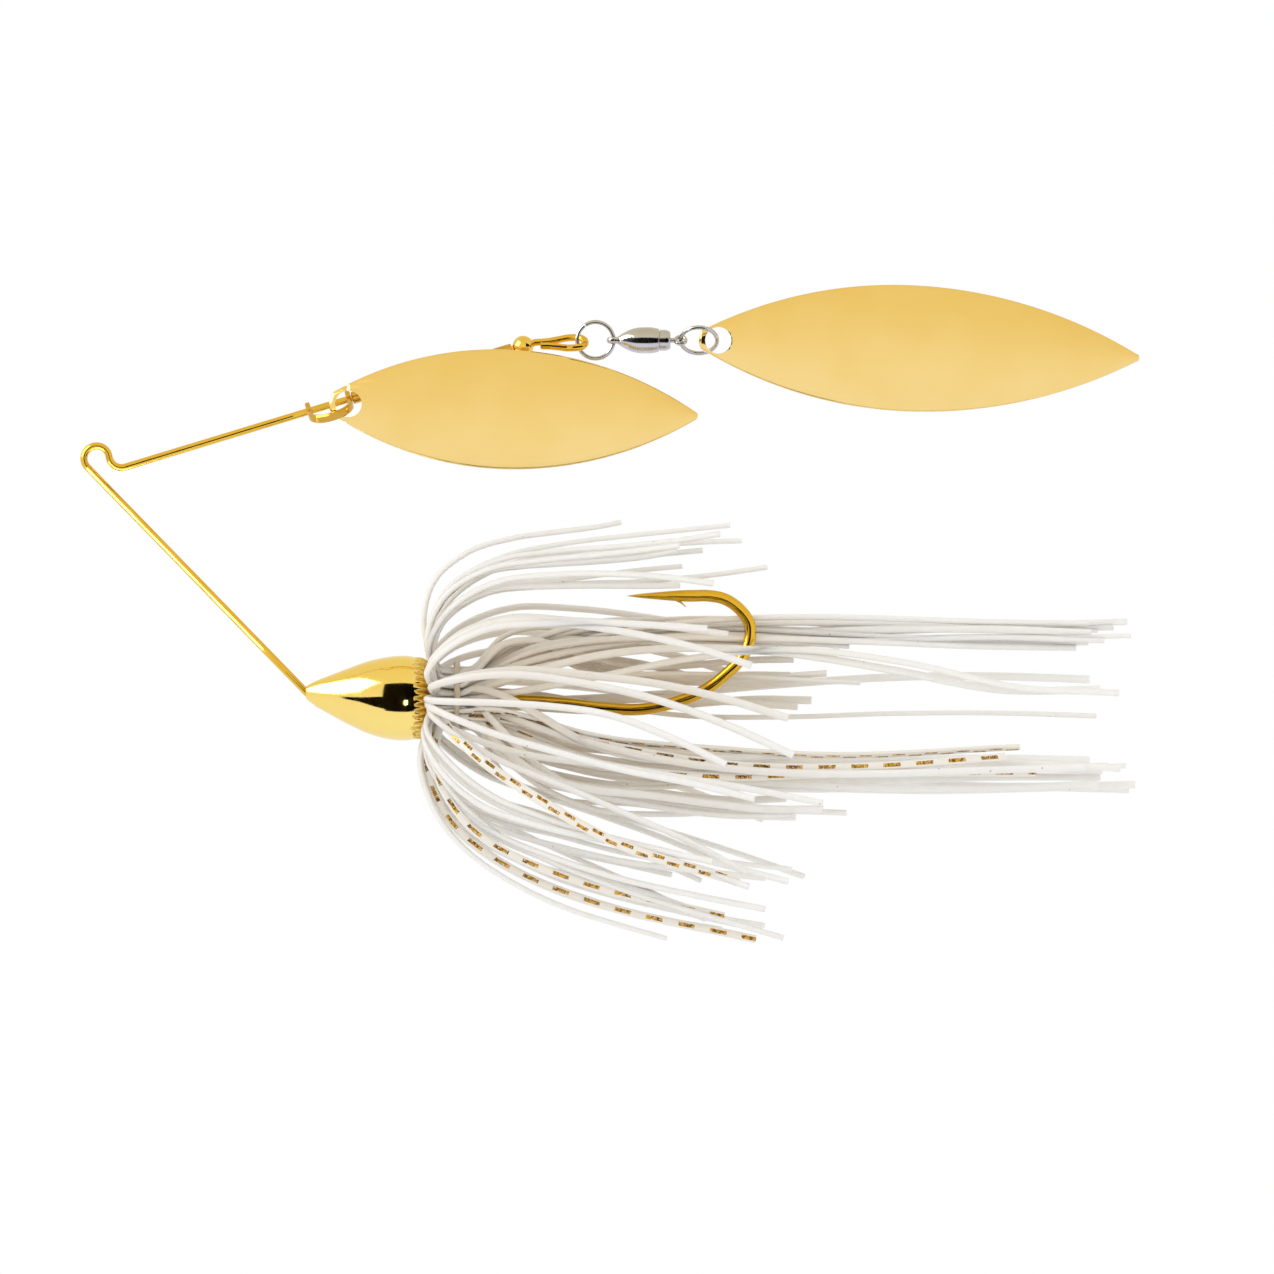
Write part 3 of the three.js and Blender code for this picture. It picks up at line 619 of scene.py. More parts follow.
def clevis_shape():
    """A strap bent to a U, between two round ears on the wire."""
    half, radius = CLEVIS_STRAP / 2, CLEVIS_SPAN / 2
    start = CLEVIS_EAR_R - 0.15
    bow = CLEVIS_DEPTH - radius
    legs = [(0, start + (bow - start) * k / 3) for k in range(3)]
    arc = [(radius - radius * math.cos(math.radians(d)), bow + radius * math.sin(math.radians(d)))
           for d in range(0, 181, 9)]
    path = legs + arc + [(CLEVIS_SPAN, q) for _, q in legs[::-1]]
    points = np.array([on_arm(CLEVIS_AT) + arm_direction * p + clevis_out * q for p, q in path])
    shape = sweep(Shape(), points, rounded_bar(CLEVIS_WIDTH, CLEVIS_STRAP, 0.32), normal=clevis_side)
    for distance in (CLEVIS_AT, CLEVIS_AT + CLEVIS_SPAN):
        ear = washer(BORE_R, CLEVIS_EAR_R, -half, half, 0.09).place(
            aimed(on_arm(distance), arm_direction, clevis_out))
        shape.add(ear.verts[0], ear.faces, ear.uvs)
    return shape


make_piece("folded_clevis", clevis_shape(), fitting_gold_painted_shade, "clevis", ["front_clevis"])

sleeve_middle, bead_middle = middle_mm("spacer_sleeve"), middle_mm("wire_bead")
SLEEVE_R, BEAD_R = 0.78, 1.29
sleeve_rise = (high_mm("spacer_sleeve") - low_mm("spacer_sleeve"))[2]
sleeve_half = (sleeve_rise / 2 - SLEEVE_R * abs(arm_direction[0])) / abs(arm_direction[2])
sleeve_shape = washer(BORE_R, SLEEVE_R, -sleeve_half, sleeve_half, 0.1, 32).place(
    aimed(sleeve_middle, arm_direction, clevis_out))
make_piece("sleeve_tube", sleeve_shape, fitting_gold_painted_shade, "sleeve", ["spacer_sleeve"])

bore_angle = math.asin(BORE_R / BEAD_R)
bead_angles = np.linspace(bore_angle, math.pi - bore_angle, 30)
bead_profile = [(BEAD_R * math.sin(a), BEAD_R * math.cos(a)) for a in bead_angles]
bead_shape = lathe(bead_profile, 40).place(aimed(bead_middle, arm_direction, clevis_out))
make_piece("ball_bead", bead_shape, fitting_gold, "bead", ["wire_bead"], sharp=60)

# ---- Blades ----
BLADE_THICKNESS, BLADE_HOLE_R, BLADE_HOLE_AT, BLADE_WIDEST = 0.5, 1.62, 2.4, 0.475
LEAF_HEAD_REACH, LEAF_HEAD_R = 1.6, 2.2
LEAF_POINT_REACH, LEAF_POINT_R, LEAF_POINT_DEPTH, LEAF_END_HALF = 0.47, 0.6, 0.264, 0.04
EDGE_ROUND = 0.16
FRONT_LEAF, REAR_LEAF = (45.3, 14.7, 1.9), (54.1, 15.5, 2.1)  # length, width and crown


def leaf_half_width(distance, length, width):
    half, widest = width / 2, BLADE_WIDEST * length
    from_point = length - distance
    if from_point < LEAF_POINT_DEPTH:
        return max(LEAF_END_HALF, math.sqrt(max(0.0, 2 * LEAF_POINT_R * from_point - from_point ** 2)))
    reach = widest + LEAF_HEAD_REACH if distance < widest else length - widest + LEAF_POINT_REACH
    radius = (reach ** 2 + half ** 2) / (2 * half)
    arc = half - (radius - math.sqrt(radius ** 2 - (distance - widest) ** 2))
    if distance > LEAF_HEAD_R:
        return arc
    return max(LEAF_END_HALF, min(arc, math.sqrt(max(0.0, LEAF_HEAD_R ** 2 - (LEAF_HEAD_R - distance) ** 2))))


def leaf_shape(length, width, crown, rows=150, columns=26):
    """A crowned leaf with a rounded edge: length down -Z from its head end, its crown toward -Y."""
    across = np.sin(np.linspace(-math.pi / 2, math.pi / 2, columns + 1) * 0.98) / math.sin(math.pi / 2 * 0.98)
    loops = []
    for i in range(rows + 1):
        distance = length * (1 - math.cos(math.pi * i / rows)) / 2
        half = leaf_half_width(distance, length, width)
        inset = max(half - EDGE_ROUND, half * 0.3)
        bow = crown * half / (width / 2)
        t = BLADE_THICKNESS / 2
        arch = [(inset * a, -bow * (1 - (a * inset / half) ** 2)) for a in across]
        shoulder = inset + (half - inset) * 0.75
        right = [(shoulder, -t * 0.62), (half, 0.0), (shoulder, t * 0.62)]
        left = [(-x, y) for x, y in right[::-1]]
        rim = -bow * (1 - (inset / half) ** 2) * 0.5
        loop = ([(x, y - t) for x, y in arch] + [(x, y + rim) for x, y in right]
                + [(x, y + t) for x, y in arch[::-1]] + [(x, y + rim) for x, y in left])
        loops.append([(x, y, -distance) for x, y in loop])
    shape = Shape()
    sides = len(loops[0])
    faces, uvs = [], []
    for i in range(rows):
        for j in range(sides):
            k = (j + 1) % sides
            faces.append([i * sides + j, (i + 1) * sides + j, (i + 1) * sides + k, i * sides + k])
            uvs.append([(j / sides, i / rows)] * 4)
    for i, order in ((0, range(sides)), (rows, range(sides - 1, -1, -1))):
        faces.append([i * sides + j for j in order])
        uvs.append([(0, i / rows)] * sides)
    shape.add([p for loop in loops for p in loop], faces, uvs)
    return shape


def blade_piece(name, node, size, hole, lean, body):
    """The leaf with its hole drilled and the hole's rims eased."""
    raw = in_scene(name + "_raw", leaf_shape(*size).mesh(name))
    drill_mesh = bpy.data.meshes.new(name + "_drill")
    work = bmesh.new()
    through = Matrix.Translation((0, 0, -BLADE_HOLE_AT * MM)) @ Matrix.Rotation(math.pi / 2, 4, "X")
    bmesh.ops.create_cone(work, cap_ends=True, segments=64, depth=8 * MM, matrix=through,
                          radius1=BLADE_HOLE_R * MM, radius2=BLADE_HOLE_R * MM)
    work.to_mesh(drill_mesh)
    work.free()
    drill = in_scene(name + "_drill", drill_mesh)
    cut = raw.modifiers.new("hole", "BOOLEAN")
    cut.object, cut.operation, cut.solver = drill, "DIFFERENCE", "EXACT"
    ease = raw.modifiers.new("ease", "BEVEL")
    ease.width, ease.segments, ease.limit_method, ease.angle_limit = 0.07 * MM, 2, "ANGLE", math.radians(55)
    bpy.context.view_layer.update()
    final = bpy.data.meshes.new_from_object(raw.evaluated_get(bpy.context.evaluated_depsgraph_get()))
    for spare in (raw, drill):
        bpy.data.objects.remove(spare)
    place = (Matrix.Translation(Vector(hole) * MM) @ Matrix.Rotation(-math.radians(lean), 4, "Y")
             @ Matrix.Translation((0, 0, BLADE_HOLE_AT * MM)))
    final.transform(place)
    return finish_piece(name, final, blade_gold, body, [node], 35)


CHAIN_X, CHAIN_Y = 14.5, -0.42
RING_R, RING_WIRE_R = 2.24, 0.262
REAR_RING_Z = middle_mm("rear_ring")[2]
FRONT_HOLE, REAR_HOLE = (6.7, -3.1, -30.9), (CHAIN_X, CHAIN_Y, REAR_RING_Z - RING_R - 0.15)
FRONT_LEAN, REAR_LEAN = -2.0, -2.4  # degrees
blade_piece("willow_leaf_front", "front_blade", FRONT_LEAF, FRONT_HOLE, FRONT_LEAN, "front_blade")
blade_piece("willow_leaf_rear", "rear_blade", REAR_LEAF, REAR_HOLE, REAR_LEAN, "rear_blade")

# ---- Rings and swivel ----
RING_SEAM = 3.0  # degrees of gap where the ring's ends meet


def standing_circle(radius, z, turn_deg, angles_deg):
    """Points round a circle on the chain that stands on edge, its plane turned about the vertical."""
    side = np.array((math.cos(math.radians(turn_deg)), math.sin(math.radians(turn_deg)), 0.0))
    centre, up = np.array((CHAIN_X, CHAIN_Y, z)), np.array((0, 0, 1.0))
    return np.array([centre + radius * (math.cos(a) * side + math.sin(a) * up)
                     for a in np.radians(angles_deg)])


def ring_path(z, turn_deg, seam_at):
    """A jump ring's wire, from one side of its seam round to the other."""
    angles = np.linspace(seam_at + RING_SEAM / 2, seam_at + 360 - RING_SEAM / 2, 90)
    return standing_circle(RING_R, z, turn_deg, angles)


FRONT_RING_Z = middle_mm("swivel_front_ring")[2]
front_ring = sweep(Shape(), ring_path(FRONT_RING_Z, 0, 35), circle(RING_WIRE_R, 18))
make_piece("front_jump_ring", front_ring, nickel, "front_ring", ["swivel_front_ring"])
rear_ring = sweep(Shape(), ring_path(REAR_RING_Z, 135, 200), circle(RING_WIRE_R, 18), normal=(1, 1, 0))
make_piece("rear_jump_ring", rear_ring, nickel, "rear_ring", ["rear_ring"])

SWIVEL_EYE_R, SWIVEL_WIRE_R, SWIVEL_EYE_HALF_WIDTH = 0.62, 0.24, 0.40
FRONT_EYE_Z, REAR_EYE_Z = FRONT_RING_Z - RING_R, -71.65
BARREL_PROFILE = [
    (0.0, -69.0), (1.34, -69.0), (1.42, -68.92), (1.50, -68.6), (1.58, -68.25), (1.60, -68.0), (1.60, -66.8),
    (1.58, -66.5), (1.46, -65.9), (1.30, -65.4), (1.06, -64.9), (0.80, -64.45), (0.56, -64.1), (0.48, -63.95),
    (0.42, -63.86), (0.0, -63.86)]
CAP_PROFILE = [
    (0.36, -70.34), (0.42, -70.4), (0.98, -70.4), (1.06, -70.34), (1.18, -70.15), (1.27, -69.9),
    (1.29, -69.6), (1.29, -69.12), (1.24, -69.06), (1.12, -69.06), (1.12, -68.65), (0.36, -68.65)]
STEM_PROFILE = [(0.0, -71.13), (0.3, -71.13), (0.3, -67.75), (1.15, -67.6), (1.15, -67.2), (0.0, -67.0)]
TURNED_RINGS, TURNED_DEPTH = 5.2, 0.004  # tool rings in a millimetre, and their share of the radius


def eye_shape(shape, z, turn_deg, half_width=SWIVEL_WIRE_R):
    """Adds a closed eye to the shape. Its wire is half_width to either side of its plane."""
    loop = standing_circle(SWIVEL_EYE_R, z, turn_deg, np.linspace(0, 360, 49)[:-1])
    wide = np.tile((half_width, SWIVEL_WIRE_R), (len(loop), 1))
    out_of_plane = (math.sin(math.radians(turn_deg)), -math.cos(math.radians(turn_deg)), 0.0)
    return sweep(shape, loop, circle(1.0, 16), scale=wide, normal=out_of_plane, loop=True)


def turned_rings(z, _angle):
    return 1.0 + TURNED_DEPTH * math.sin(2 * math.pi * TURNED_RINGS * z)


def on_chain(shape):
    return shape.place(Matrix.Translation((CHAIN_X, CHAIN_Y, 0)))


barrel_outline = [BARREL_PROFILE[0]] + [
    (r, z) for r, z, _ in smooth_path([(r, z, 0) for r, z in BARREL_PROFILE[1:-1]], 6)] + [BARREL_PROFILE[-1]]
barrel = on_chain(lathe(barrel_outline, 64, turned_rings))
eye_shape(barrel, FRONT_EYE_Z, 90, SWIVEL_EYE_HALF_WIDTH)
make_piece("swivel_body", barrel, nickel, "barrel", ["swivel_barrel"], sharp=45)
end_cap = on_chain(lathe(CAP_PROFILE, 64))
make_piece("swivel_collar", end_cap, nickel, "barrel", ["swivel_end_cap"], sharp=35)
stem = on_chain(lathe(STEM_PROFILE, 40))
eye_shape(stem, REAR_EYE_Z, 45)
make_piece("swivel_post", stem, nickel, "stem", ["swivel_stem"], sharp=45)
for number in range(1, 6):
    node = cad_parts[f"swivel_ball_{number}"]
    node.data.materials.clear()
    node.data.materials.append(nickel)

# ---- Skirt ----
BUNDLES, STRANDS_PER_BUNDLE, NEAR_BUNDLE = 10, 5, 2
STRAND_WIDTH, STRAND_THICKNESS = 0.92, 0.60
COLLAR_Z = -44.0
COLLAR_LAYERS = (2.5, 3.5, 2.9, 3.8, 2.7)
FULLNESS = (1.0, 0.84, 0.96, 0.70, 0.98)  # how far each strand stands out, next to the umbrella's outside
BUNDLE_SPREAD = (-16, -10, -3, 6, 14)  # degrees of each strand from its bundle's middle
FAN_TOP = [(4.4, -41.7), (8.8, -40.7), (14.3, -43.0), (17.8, -48.6), (19.4, -55.5), (20.3, -62.5),
           (21.2, -69.0), (22.2, -74.5)]  # the umbrella's outside above: distance from the axis, and height
FAN_LOW = [(4.3, -41.2), (8.4, -40.1), (14.6, -42.7), (18.8, -47.4), (22.4, -54.0), (25.4, -62.0),
           (27.4, -70.0), (29.2, -78.0)]  # the same below
SIDE_DEPTH = 0.72  # how far the near strands stand out, next to the upper ones
FAR_DEPTH = 0.58  # the same on the far side, where the rear blade can swing past
FAR_CLOSING = 0.45  # how much of it is gone at the far strands' tips
SIDE_SAG = 12.0  # how far their tips hang toward -X
SIDE_REACH = 9.0  # how much lower those tips are, as the strands stand out less
PINCH = 0.5  # how close together the near and far strands leave the collar
GATHER = 11.0  # degrees that the strands crowd toward the skirt's top and bottom
PARTINGS = [(90, 13, 32), (37, 6, 14)]  # middle, and to either side the degrees left free and pushed aside
INNER_DROP = 13.0  # how much lower a strand hangs that stands out less
FRONT_WAVE = 0.5
MIDDLE_LIFT = 6.0  # the near middle tails rise over the hook's shank first
TAIL_PLACES = {"upper": (-21.2, 1.7), "middle": (-29.5, 2.6), "lower": (-39.6, 2.3)}  # X, and to either side
TAIL_KEEPS = ((0.0, 1.0), (0.09, 0.8), (0.2, 0.5), (0.34, 0.22), (0.5, 0.08), (0.67, 0.02), (0.84, 0.0),
              (1.0, 0.0))  # how much a tail keeps of the way it left the collar, by how far along it is
TAIL_WAVE_X, TAIL_WAVE_Y = 0.9, 0.8
TAIL_DEPTH = 8.0  # how far to the near or far side the other tails end
UPPER_DEPTH = (2.0, 6.5)  # how far behind the hook the upper tails end
LONG_TIPS_Z, SHORT_TIPS_Z = (-127.5, -119.0), (-94, -84)
SQUEEZED, SQUEEZE_REACH = 0.66, 4.0  # a strand's size under the band, and how far from it that fades out
BAND_PASS_Z = (-43.0, -44.7)
MIDDLE_TAILS, NEAR_TAIL_TURN = (0, 2), 40  # the near bundle's other tails are led that much lower, in degrees
SHORT_TAILS = (1, 3)
# The ranges that each strand's own numbers are drawn from
STRAY, DRIFT = (-4, 4), (-15, 15)  # degrees aside at the collar, and more by the tip
REACH, BULGE = (-13, 4), (3.0, 8.5)  # how much lower its tip is, and how far its tail fills out
PHASE, TWIST = (0, 6), (-50, 50)  # of its waves, and in degrees along it
LIFT_SHARE, WIDTH_SHARE = (0.7, 1.1), (0.94, 1.06)


def rising(far, rate, start=0.0):
    """How far along a change is: 0 up to `start`, then rising at that rate to 1."""
    return min(1.0, max(0.0, rate * (far - start)))


def round_axis(angle_deg, radius, z, depth=1.0):
    a = math.radians(angle_deg)
    return np.array((HEAD_X + radius * math.cos(a), -radius * math.sin(a) * depth, z))


def pinched(angle):
    """Where round the collar a strand starts: the near and the far ones are drawn together."""
    side = 90 if angle % 360 < 180 else 270
    off = angle % 360 - side
    return side + off * (PINCH + (1 - PINCH) * (off / 90) ** 2)


def parted(angle):
    """Pushed aside from the partings where the hook's shank and its spear show."""
    for middle, free, reach in PARTINGS:
        off = angle % 360 - middle
        if abs(off) < reach:
            return middle + math.copysign(free + abs(off) * (1 - free / reach), off)
    return angle


def front_points(angle, full, collar_r, drift, reach, phase):
    """From the tip to the collar, on an umbrella that is wider below than above and sags at its sides."""
    low_share = (1 - math.cos(math.radians(angle))) / 2
    side_share = math.sin(math.radians(angle)) ** 2
    is_near = angle % 360 < 180
    points = []
    for i, ((r_top, z_top), (r_low, z_low)) in enumerate(zip(FAN_TOP, FAN_LOW)):
        far = i / (len(FAN_TOP) - 1)
        r = r_top + (r_low - r_top) * low_share
        z = z_top + (z_low - z_top) * low_share
        r = collar_r + (r - collar_r) * (1 - (1 - full) * min(1.0, 0.25 + 1.3 * far))
        z -= (1 - full) * INNER_DROP * rising(far, 1.7) + (SIDE_REACH * side_share + reach) * far ** 1.5
        at = pinched(angle) + (angle - pinched(angle)) * rising(far, 2.3)
        at += (parted(angle) - angle) * rising(far, 2.0, 0.18)
        wave = FRONT_WAVE * far * math.sin(5.0 * far + phase)
        depth = SIDE_DEPTH if is_near else FAR_DEPTH * (1 - FAR_CLOSING * far ** 2)
        point = round_axis(at + drift * far ** 1.3, r + wave, z, 1 - (1 - depth) * rising(far, 3))
        point[0] -= SIDE_SAG * side_share * (1.0 + 0.03 * reach) * far ** 2.1
        points.append(point)
    return points[::-1]


def tail_points(angle, collar_r, tip, bulge, phase, lift):
    """From the collar to the tail's tip, first filling out a little and then nearly level."""
    points = []
    start = round_axis(pinched(angle), collar_r, -46.2)
    for far, keep in TAIL_KEEPS:
        z = start[2] + (tip[2] - start[2]) * far
        spread = collar_r + bulge * math.sin(math.pi * rising(far, 1.6)) ** 0.8
        point = round_axis(angle, spread, z) * keep + np.array((tip[0], tip[1], z)) * (1 - keep)
        point[0] += TAIL_WAVE_X * math.sin(6.5 * far + phase) * rising(far, 4) * (1 - 0.5 * far)
        point[0] += lift * math.sin(math.pi * rising(far, 1.15)) ** 1.3
        point[1] += TAIL_WAVE_Y * math.sin(5.0 * far + 2 * phase) * rising(far, 4)
        point[2] = z
        points.append(point)
    return points


def strand(shape, route, width, thickness, spin, side=None):
    """One flat strand with square-cut ends, squeezed under the band. Its wide way runs along `side`."""
    path = smooth_path(route, 7)
    squeeze = np.clip(np.abs(path[:, 2] - COLLAR_Z) / SQUEEZE_REACH, 0, 1)
    near_axis = np.hypot(path[:, 0] - HEAD_X, path[:, 1]) < 5
    scale = SQUEEZED + (1 - SQUEEZED) * np.where(near_axis, squeeze, 1) ** 0.8
    if side is None:
        side = np.cross(path[0] - np.array((HEAD_X, 0, path[0][2])), (0, 0, 1.0))
    twist = np.radians(spin) * np.linspace(0, 1, len(path))
    sweep(shape, path, rounded_bar(width, thickness), scale=scale, normal=side, twist=twist)


def tail_tip(angle, is_long, draw):
    """Where a tail ends: the upper ones lie behind the hook and the others keep to their own side."""
    height = math.cos(math.radians(angle))
    group = "upper" if height > 0.45 else "lower" if height < -0.3 else "middle"
    x, spread = TAIL_PLACES[group]
    if group == "upper":
        depth = draw.uniform(*UPPER_DEPTH)
    else:
        depth = -math.sin(math.radians(angle)) * TAIL_DEPTH + draw.uniform(-2, 2)
    if not is_long:
        short_x = x * 0.85 + HEAD_X * 0.15 - 2 + draw.uniform(-4, 4)
        return np.array((short_x, depth, draw.uniform(*SHORT_TIPS_Z)))
    return np.array((x + draw.uniform(-spread, spread), depth, draw.uniform(*LONG_TIPS_Z)))


draw = random.Random(41)
for bundle in range(BUNDLES):
    shape = Shape()
    for number in range(STRANDS_PER_BUNDLE):
        angle = (bundle + 0.5) * 360 / BUNDLES + BUNDLE_SPREAD[number] + draw.uniform(*STRAY)
        angle -= GATHER * math.sin(math.radians(2 * angle))
        collar_r = COLLAR_LAYERS[number]
        full = FULLNESS[(number + bundle) % STRANDS_PER_BUNDLE]
        front = front_points(angle, full, collar_r, draw.uniform(*DRIFT) / full, draw.uniform(*REACH),
                             draw.uniform(*PHASE))
        band_pass = [round_axis(pinched(angle), collar_r, z) for z in BAND_PASS_Z]
        tail_angle, lift = angle, 0.0
        if bundle == NEAR_BUNDLE and number in MIDDLE_TAILS:
            lift = MIDDLE_LIFT * draw.uniform(*LIFT_SHARE)
        elif bundle == NEAR_BUNDLE:
            tail_angle += NEAR_TAIL_TURN
        tail = tail_points(angle, collar_r, tail_tip(tail_angle, number not in SHORT_TAILS, draw),
                           draw.uniform(*BULGE), draw.uniform(*PHASE), lift)
        strand(shape, front + band_pass + tail, STRAND_WIDTH * draw.uniform(*WIDTH_SHARE), STRAND_THICKNESS,
               draw.uniform(*TWIST))
    make_piece(f"skirt_strands_{bundle + 1:02d}", shape, white_silicone, "frame",
               [f"skirt_bundle_{bundle + 1:02d}"], sharp=55)

FLAKE_STRANDS = [  # the route from the front tip to the collar, and on to the tail's tip
    ([(-59.0, -3.0, -80.9), (-54.7, -3.2, -61.8), (-49.5, -3.2, -49.5), (-43.7, -3.2, -42.9),
      (-36.2, -3.0, -40.4)],
     [(-33.0, -3.6, -50.0), (-37.4, -6.5, -62.0), (-39.0, -8.0, -76.0), (-38.6, -8.2, -92.0),
      (-38.5, -8.0, -115.3)], 1.0, flake_dashes),
    ([(-56.2, -6.6, -77.0), (-51.7, -6.8, -58.5), (-45.9, -6.8, -46.6), (-39.2, -5.6, -41.9),
      (-35.0, -4.2, -41.6)],
     [(-32.0, -4.4, -50.0), (-35.0, -7.0, -62.0), (-37.6, -8.6, -78.0), (-37.8, -9.0, -94.0),
      (-36.6, -8.8, -111.5)], 1.0, flake_dashes),
    ([(-51.9, -15.5, -78.9), (-47.4, -16.0, -64.3), (-41.9, -15.0, -54.4), (-36.9, -12.4, -47.1),
      (-32.0, -6.8, -42.4)],
     [(-31.0, -5.4, -49.5), (-34.2, -6.2, -61.8), (-35.6, -6.8, -75.9), (-36.4, -7.0, -91.3),
      (-35.4, -7.2, -113.3)], 1.25, flake_pairs),
]
FLAKE_COLLAR_R, FLAKE_THICKNESS = 4.15, 0.45
FLAKE_ANGLE, FLAKE_STEP, FLAKE_TWIST = 130, 8, 12  # degrees round the axis, between strands, and along each
for number, (front, tail, width, material) in enumerate(FLAKE_STRANDS):
    angle = FLAKE_ANGLE - FLAKE_STEP * number
    band_pass = [round_axis(angle, FLAKE_COLLAR_R, z) for z in BAND_PASS_Z]
    shape = Shape()
    strand(shape, front + band_pass + tail, width, FLAKE_THICKNESS, FLAKE_TWIST, side=(1.0, 0, 0))
    make_piece(f"flake_strand_{number + 1}", shape, material, "frame",
               ["skirt_bundle_05"], sharp=55)

BAND_R, BAND_VISIBLE_R, BAND_INSET, BAND_WANDER = 0.45, 0.34, 0.1, 0.05
band_middle = middle_mm("skirt_band")
band_ring = float(high_mm("skirt_band")[0] - band_middle[0]) - BAND_R - BAND_INSET
around = np.radians(np.linspace(0, 360, 97)[:-1])
band_loop = np.array([(HEAD_X + (band_ring + BAND_WANDER * math.sin(7 * a)) * math.cos(a),
                       (band_ring + BAND_WANDER * math.sin(7 * a)) * math.sin(a),
                       band_middle[2] + 0.08 * math.sin(5 * a)) for a in around])
band_shape = sweep(Shape(), band_loop, circle(BAND_VISIBLE_R, 14), normal=(0, 0, 1), loop=True)
make_piece("band_ring", band_shape, band_latex_painted_shade, "frame", ["skirt_band"])

# ---- Floor, light and studio ----
FLOOR_DROP, HALF_FLOOR = 0.016, 8.0
floor_mesh = bpy.data.meshes.new("floor")
floor_z = CAD_LOW.z - FLOOR_DROP
floor_corners = [(x * HALF_FLOOR, y * HALF_FLOOR, floor_z) for x, y in ((-1, -1), (1, -1), (1, 1), (-1, 1))]
floor_mesh.from_pydata(floor_corners, [], [(0, 1, 2, 3)])
floor = in_scene("floor", floor_mesh)
floor_recipe = Recipe("floor_paper")
fibres = floor_recipe.noise(floor_recipe.coords(), 900.0, 3.0)
floor_recipe.link(floor_recipe.blend(fibres, (0.86, 0.86, 0.85), (0.90, 0.90, 0.895)),
                  floor_recipe.shader.inputs["Base Color"])
floor_recipe.set(Roughness=0.85)
floor_mesh.materials.append(floor_recipe.material)
floor.visible_glossy = False

DARK = (0.004, 0.003, 0.002)


def reflected_card(name, rows, glow=0.0):
    """A strip between two rows of points in mm that only reflections show: a dark flag or a softbox."""
    near_side, far_side = rows
    count = len(near_side)
    mesh = bpy.data.meshes.new(name)
    mesh.from_pydata([tuple(c * MM for c in point) for point in (*near_side, *far_side)], [],
                     [(i, i + 1, count + i + 1, count + i) for i in range(count - 1)])
    card = in_scene(name, mesh)
    colour = (1.0, 1.0, 1.0) if glow else DARK
    recipe = Recipe(name)
    recipe.set(Base_Color=(*colour, 1), Roughness=1.0, Specular_IOR_Level=0.0)
    if glow:
        recipe.set(Emission_Color=(*colour, 1), Emission_Strength=glow)
    mesh.materials.append(recipe.material)
    card.visible_camera = card.visible_diffuse = card.visible_shadow = False
    card.visible_transmission = card.visible_volume_scatter = False


def upright_card(name, low, high, y, glow=0.0):
    """A card that faces the camera's side, between two (x, z) corners."""
    (x0, z0), (x1, z1) = low, high
    reflected_card(name, ([(x0, y, z0), (x0, y, z1)], [(x1, y, z0), (x1, y, z1)]), glow)


def wire_card(name, path, first, second, glow=0.0):
    """A strip beside a wire's path. Its two edges are given as (across the wire, y)."""
    tangents = np.gradient(path, axis=0)
    across = np.array([unit(np.cross(t, (0, 1.0, 0))) for t in tangents])
    reflected_card(name, [path + across * side + np.array((0, y, 0.0)) for side, y in (first, second)], glow)


upright_card("flag_head", (-39.0, -84.0), (-18.5, -30.6), -15.0)
reflected_card("flag_nose", ([(-37.5, -15, -30.7), (-32.5, -15, -16.0)],
                             [(-28.5, -15, -30.7), (-30.0, -15, -16.0)]))
upright_card("flag_swivel", (13.4, -71.0), (15.5, -64.0), -3.4)
upright_card("flag_front_ring", (13.2, -63.9), (16.8, -58.4), -4.2)
upright_card("flag_rear_ring", (12.2, -76.4), (16.8, -71.1), -5.0)
upright_card("flag_eye", (13.5, -57.5), (15.3, -53.5), -2.6)
head_arm_line = np.linspace(tie_start, tie_start + heading(HEAD_ARM_ANGLE) * (HEAD_ARM_LENGTH - 9), 12)
tie_line = np.array(arm_branch[:-int(BLADE_ARM_LENGTH / 2)])
blade_arm_line = np.linspace(on_arm(0), on_arm(21.5), 12)
wire_card("flag_tie", tie_line, (-0.6, -2.5), (0.6, -2.5))
wire_card("flag_blade_arm", blade_arm_line, (-0.75, -2.5), (0.75, -2.5))
wire_card("softbox_head_arm", head_arm_line, (-0.9, -2.5), (-4.5, -2.5), 16.0)
upright_card("softbox_small", (-33.2, -39.4), (-30.6, -38.2), -14.0, 6.0)

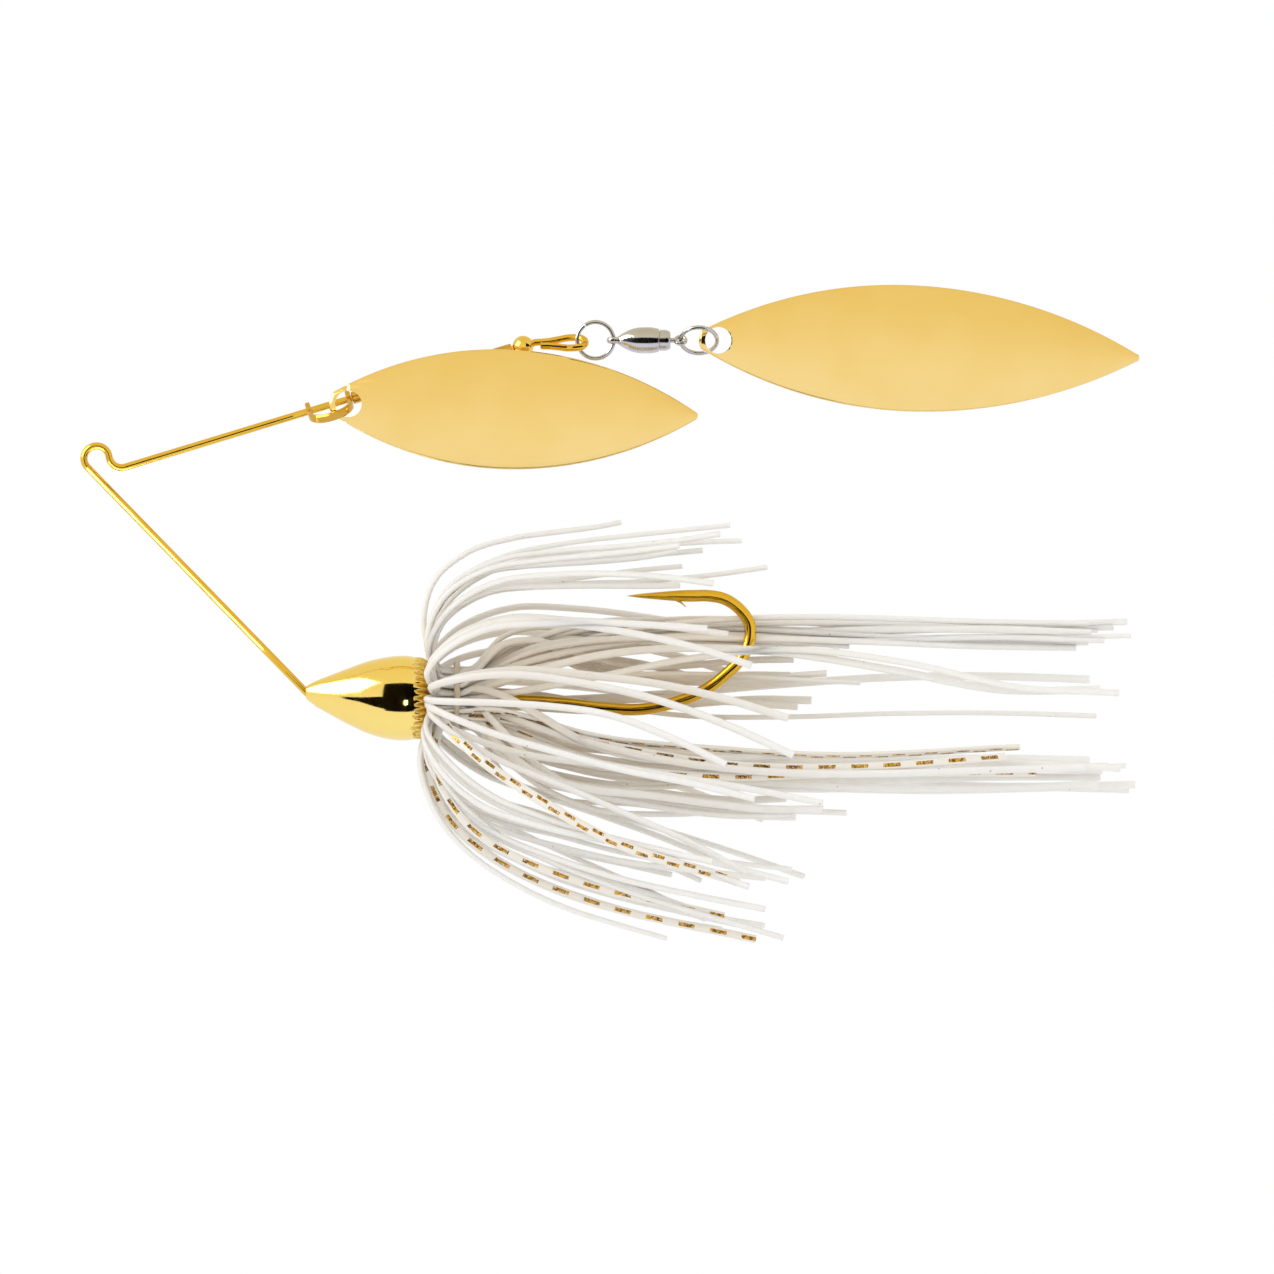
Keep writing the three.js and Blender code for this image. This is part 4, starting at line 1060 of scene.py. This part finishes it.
# The large softbox is a square that faces the head.
SOFTBOX_PLACE, SOFTBOX_HALF, HEAD_MIDDLE_Z = np.array((190.0, -150.0, 290.0)), 165.0, -34.0
facing = aimed(SOFTBOX_PLACE, (HEAD_X, 0.0, HEAD_MIDDLE_Z) - SOFTBOX_PLACE, (0.0, 1.0, 0.0))
softbox_rows = [[facing[:3, 3] + SOFTBOX_HALF * (a * facing[:3, 0] + b * facing[:3, 1]) for b in (-1, 1)]
                for a in (-1, 1)]
reflected_card("softbox", softbox_rows, 5.0)

# The key light shades the matt pieces. The softboxes above stand for it in reflections.
KEY_PLACE, KEY_SIZE, KEY_WATTS, KEY_COLOUR = Vector((0.16, -0.34, 0.26)), 0.26, 0.35, (1.0, 0.995, 0.98)
key_data = bpy.data.lights.new("key", "AREA")
key_data.shape, key_data.size, key_data.energy, key_data.color = "SQUARE", KEY_SIZE, KEY_WATTS, KEY_COLOUR
key_light = in_scene("key", key_data)
key_light.location = KEY_PLACE
key_light.rotation_euler = (FRAME_MIDDLE - KEY_PLACE).to_track_quat("-Z", "Y").to_euler()
key_light.visible_glossy = False

world = bpy.data.worlds.new("studio")
bpy.context.scene.world = world
world.use_nodes = True
world.node_tree.nodes.clear()
sky = Nodes(world.node_tree)
direction = sky.node("ShaderNodeTexCoord")
axes = sky.node("ShaderNodeSeparateXYZ")
sky.link(direction.outputs["Generated"], axes.inputs[0])
rays = sky.node("ShaderNodeLightPath")

COOL_SIDE, WARM_SIDE = (1.05, 1.12, 1.36), (0.96, 0.90, 0.66)  # what reflections see
MATT_LIGHT = (1.0, 0.992, 0.975)  # what matt surfaces see
tint = sky.blend(sky.spread(axes.outputs["X"], 0.0, 1.0, -1.0, 1.0), COOL_SIDE, WARM_SIDE)
studio = sky.node("ShaderNodeBackground")
sky.link(sky.blend(rays.outputs["Is Glossy Ray"], MATT_LIGHT, tint), studio.inputs["Color"])
sky.link(sky.spread(axes.outputs["Y"], 1.0, 0.92, -1.0, 1.0), studio.inputs["Strength"])
backdrop = sky.node("ShaderNodeBackground", in_Color=(1, 1, 1, 1))
choose = sky.node("ShaderNodeMixShader")
sky.link(rays.outputs["Is Camera Ray"], choose.inputs["Fac"])
sky.link(studio.outputs[0], choose.inputs[1])
sky.link(backdrop.outputs[0], choose.inputs[2])
output = sky.node("ShaderNodeOutputWorld")
sky.link(choose.outputs[0], output.inputs["Surface"])
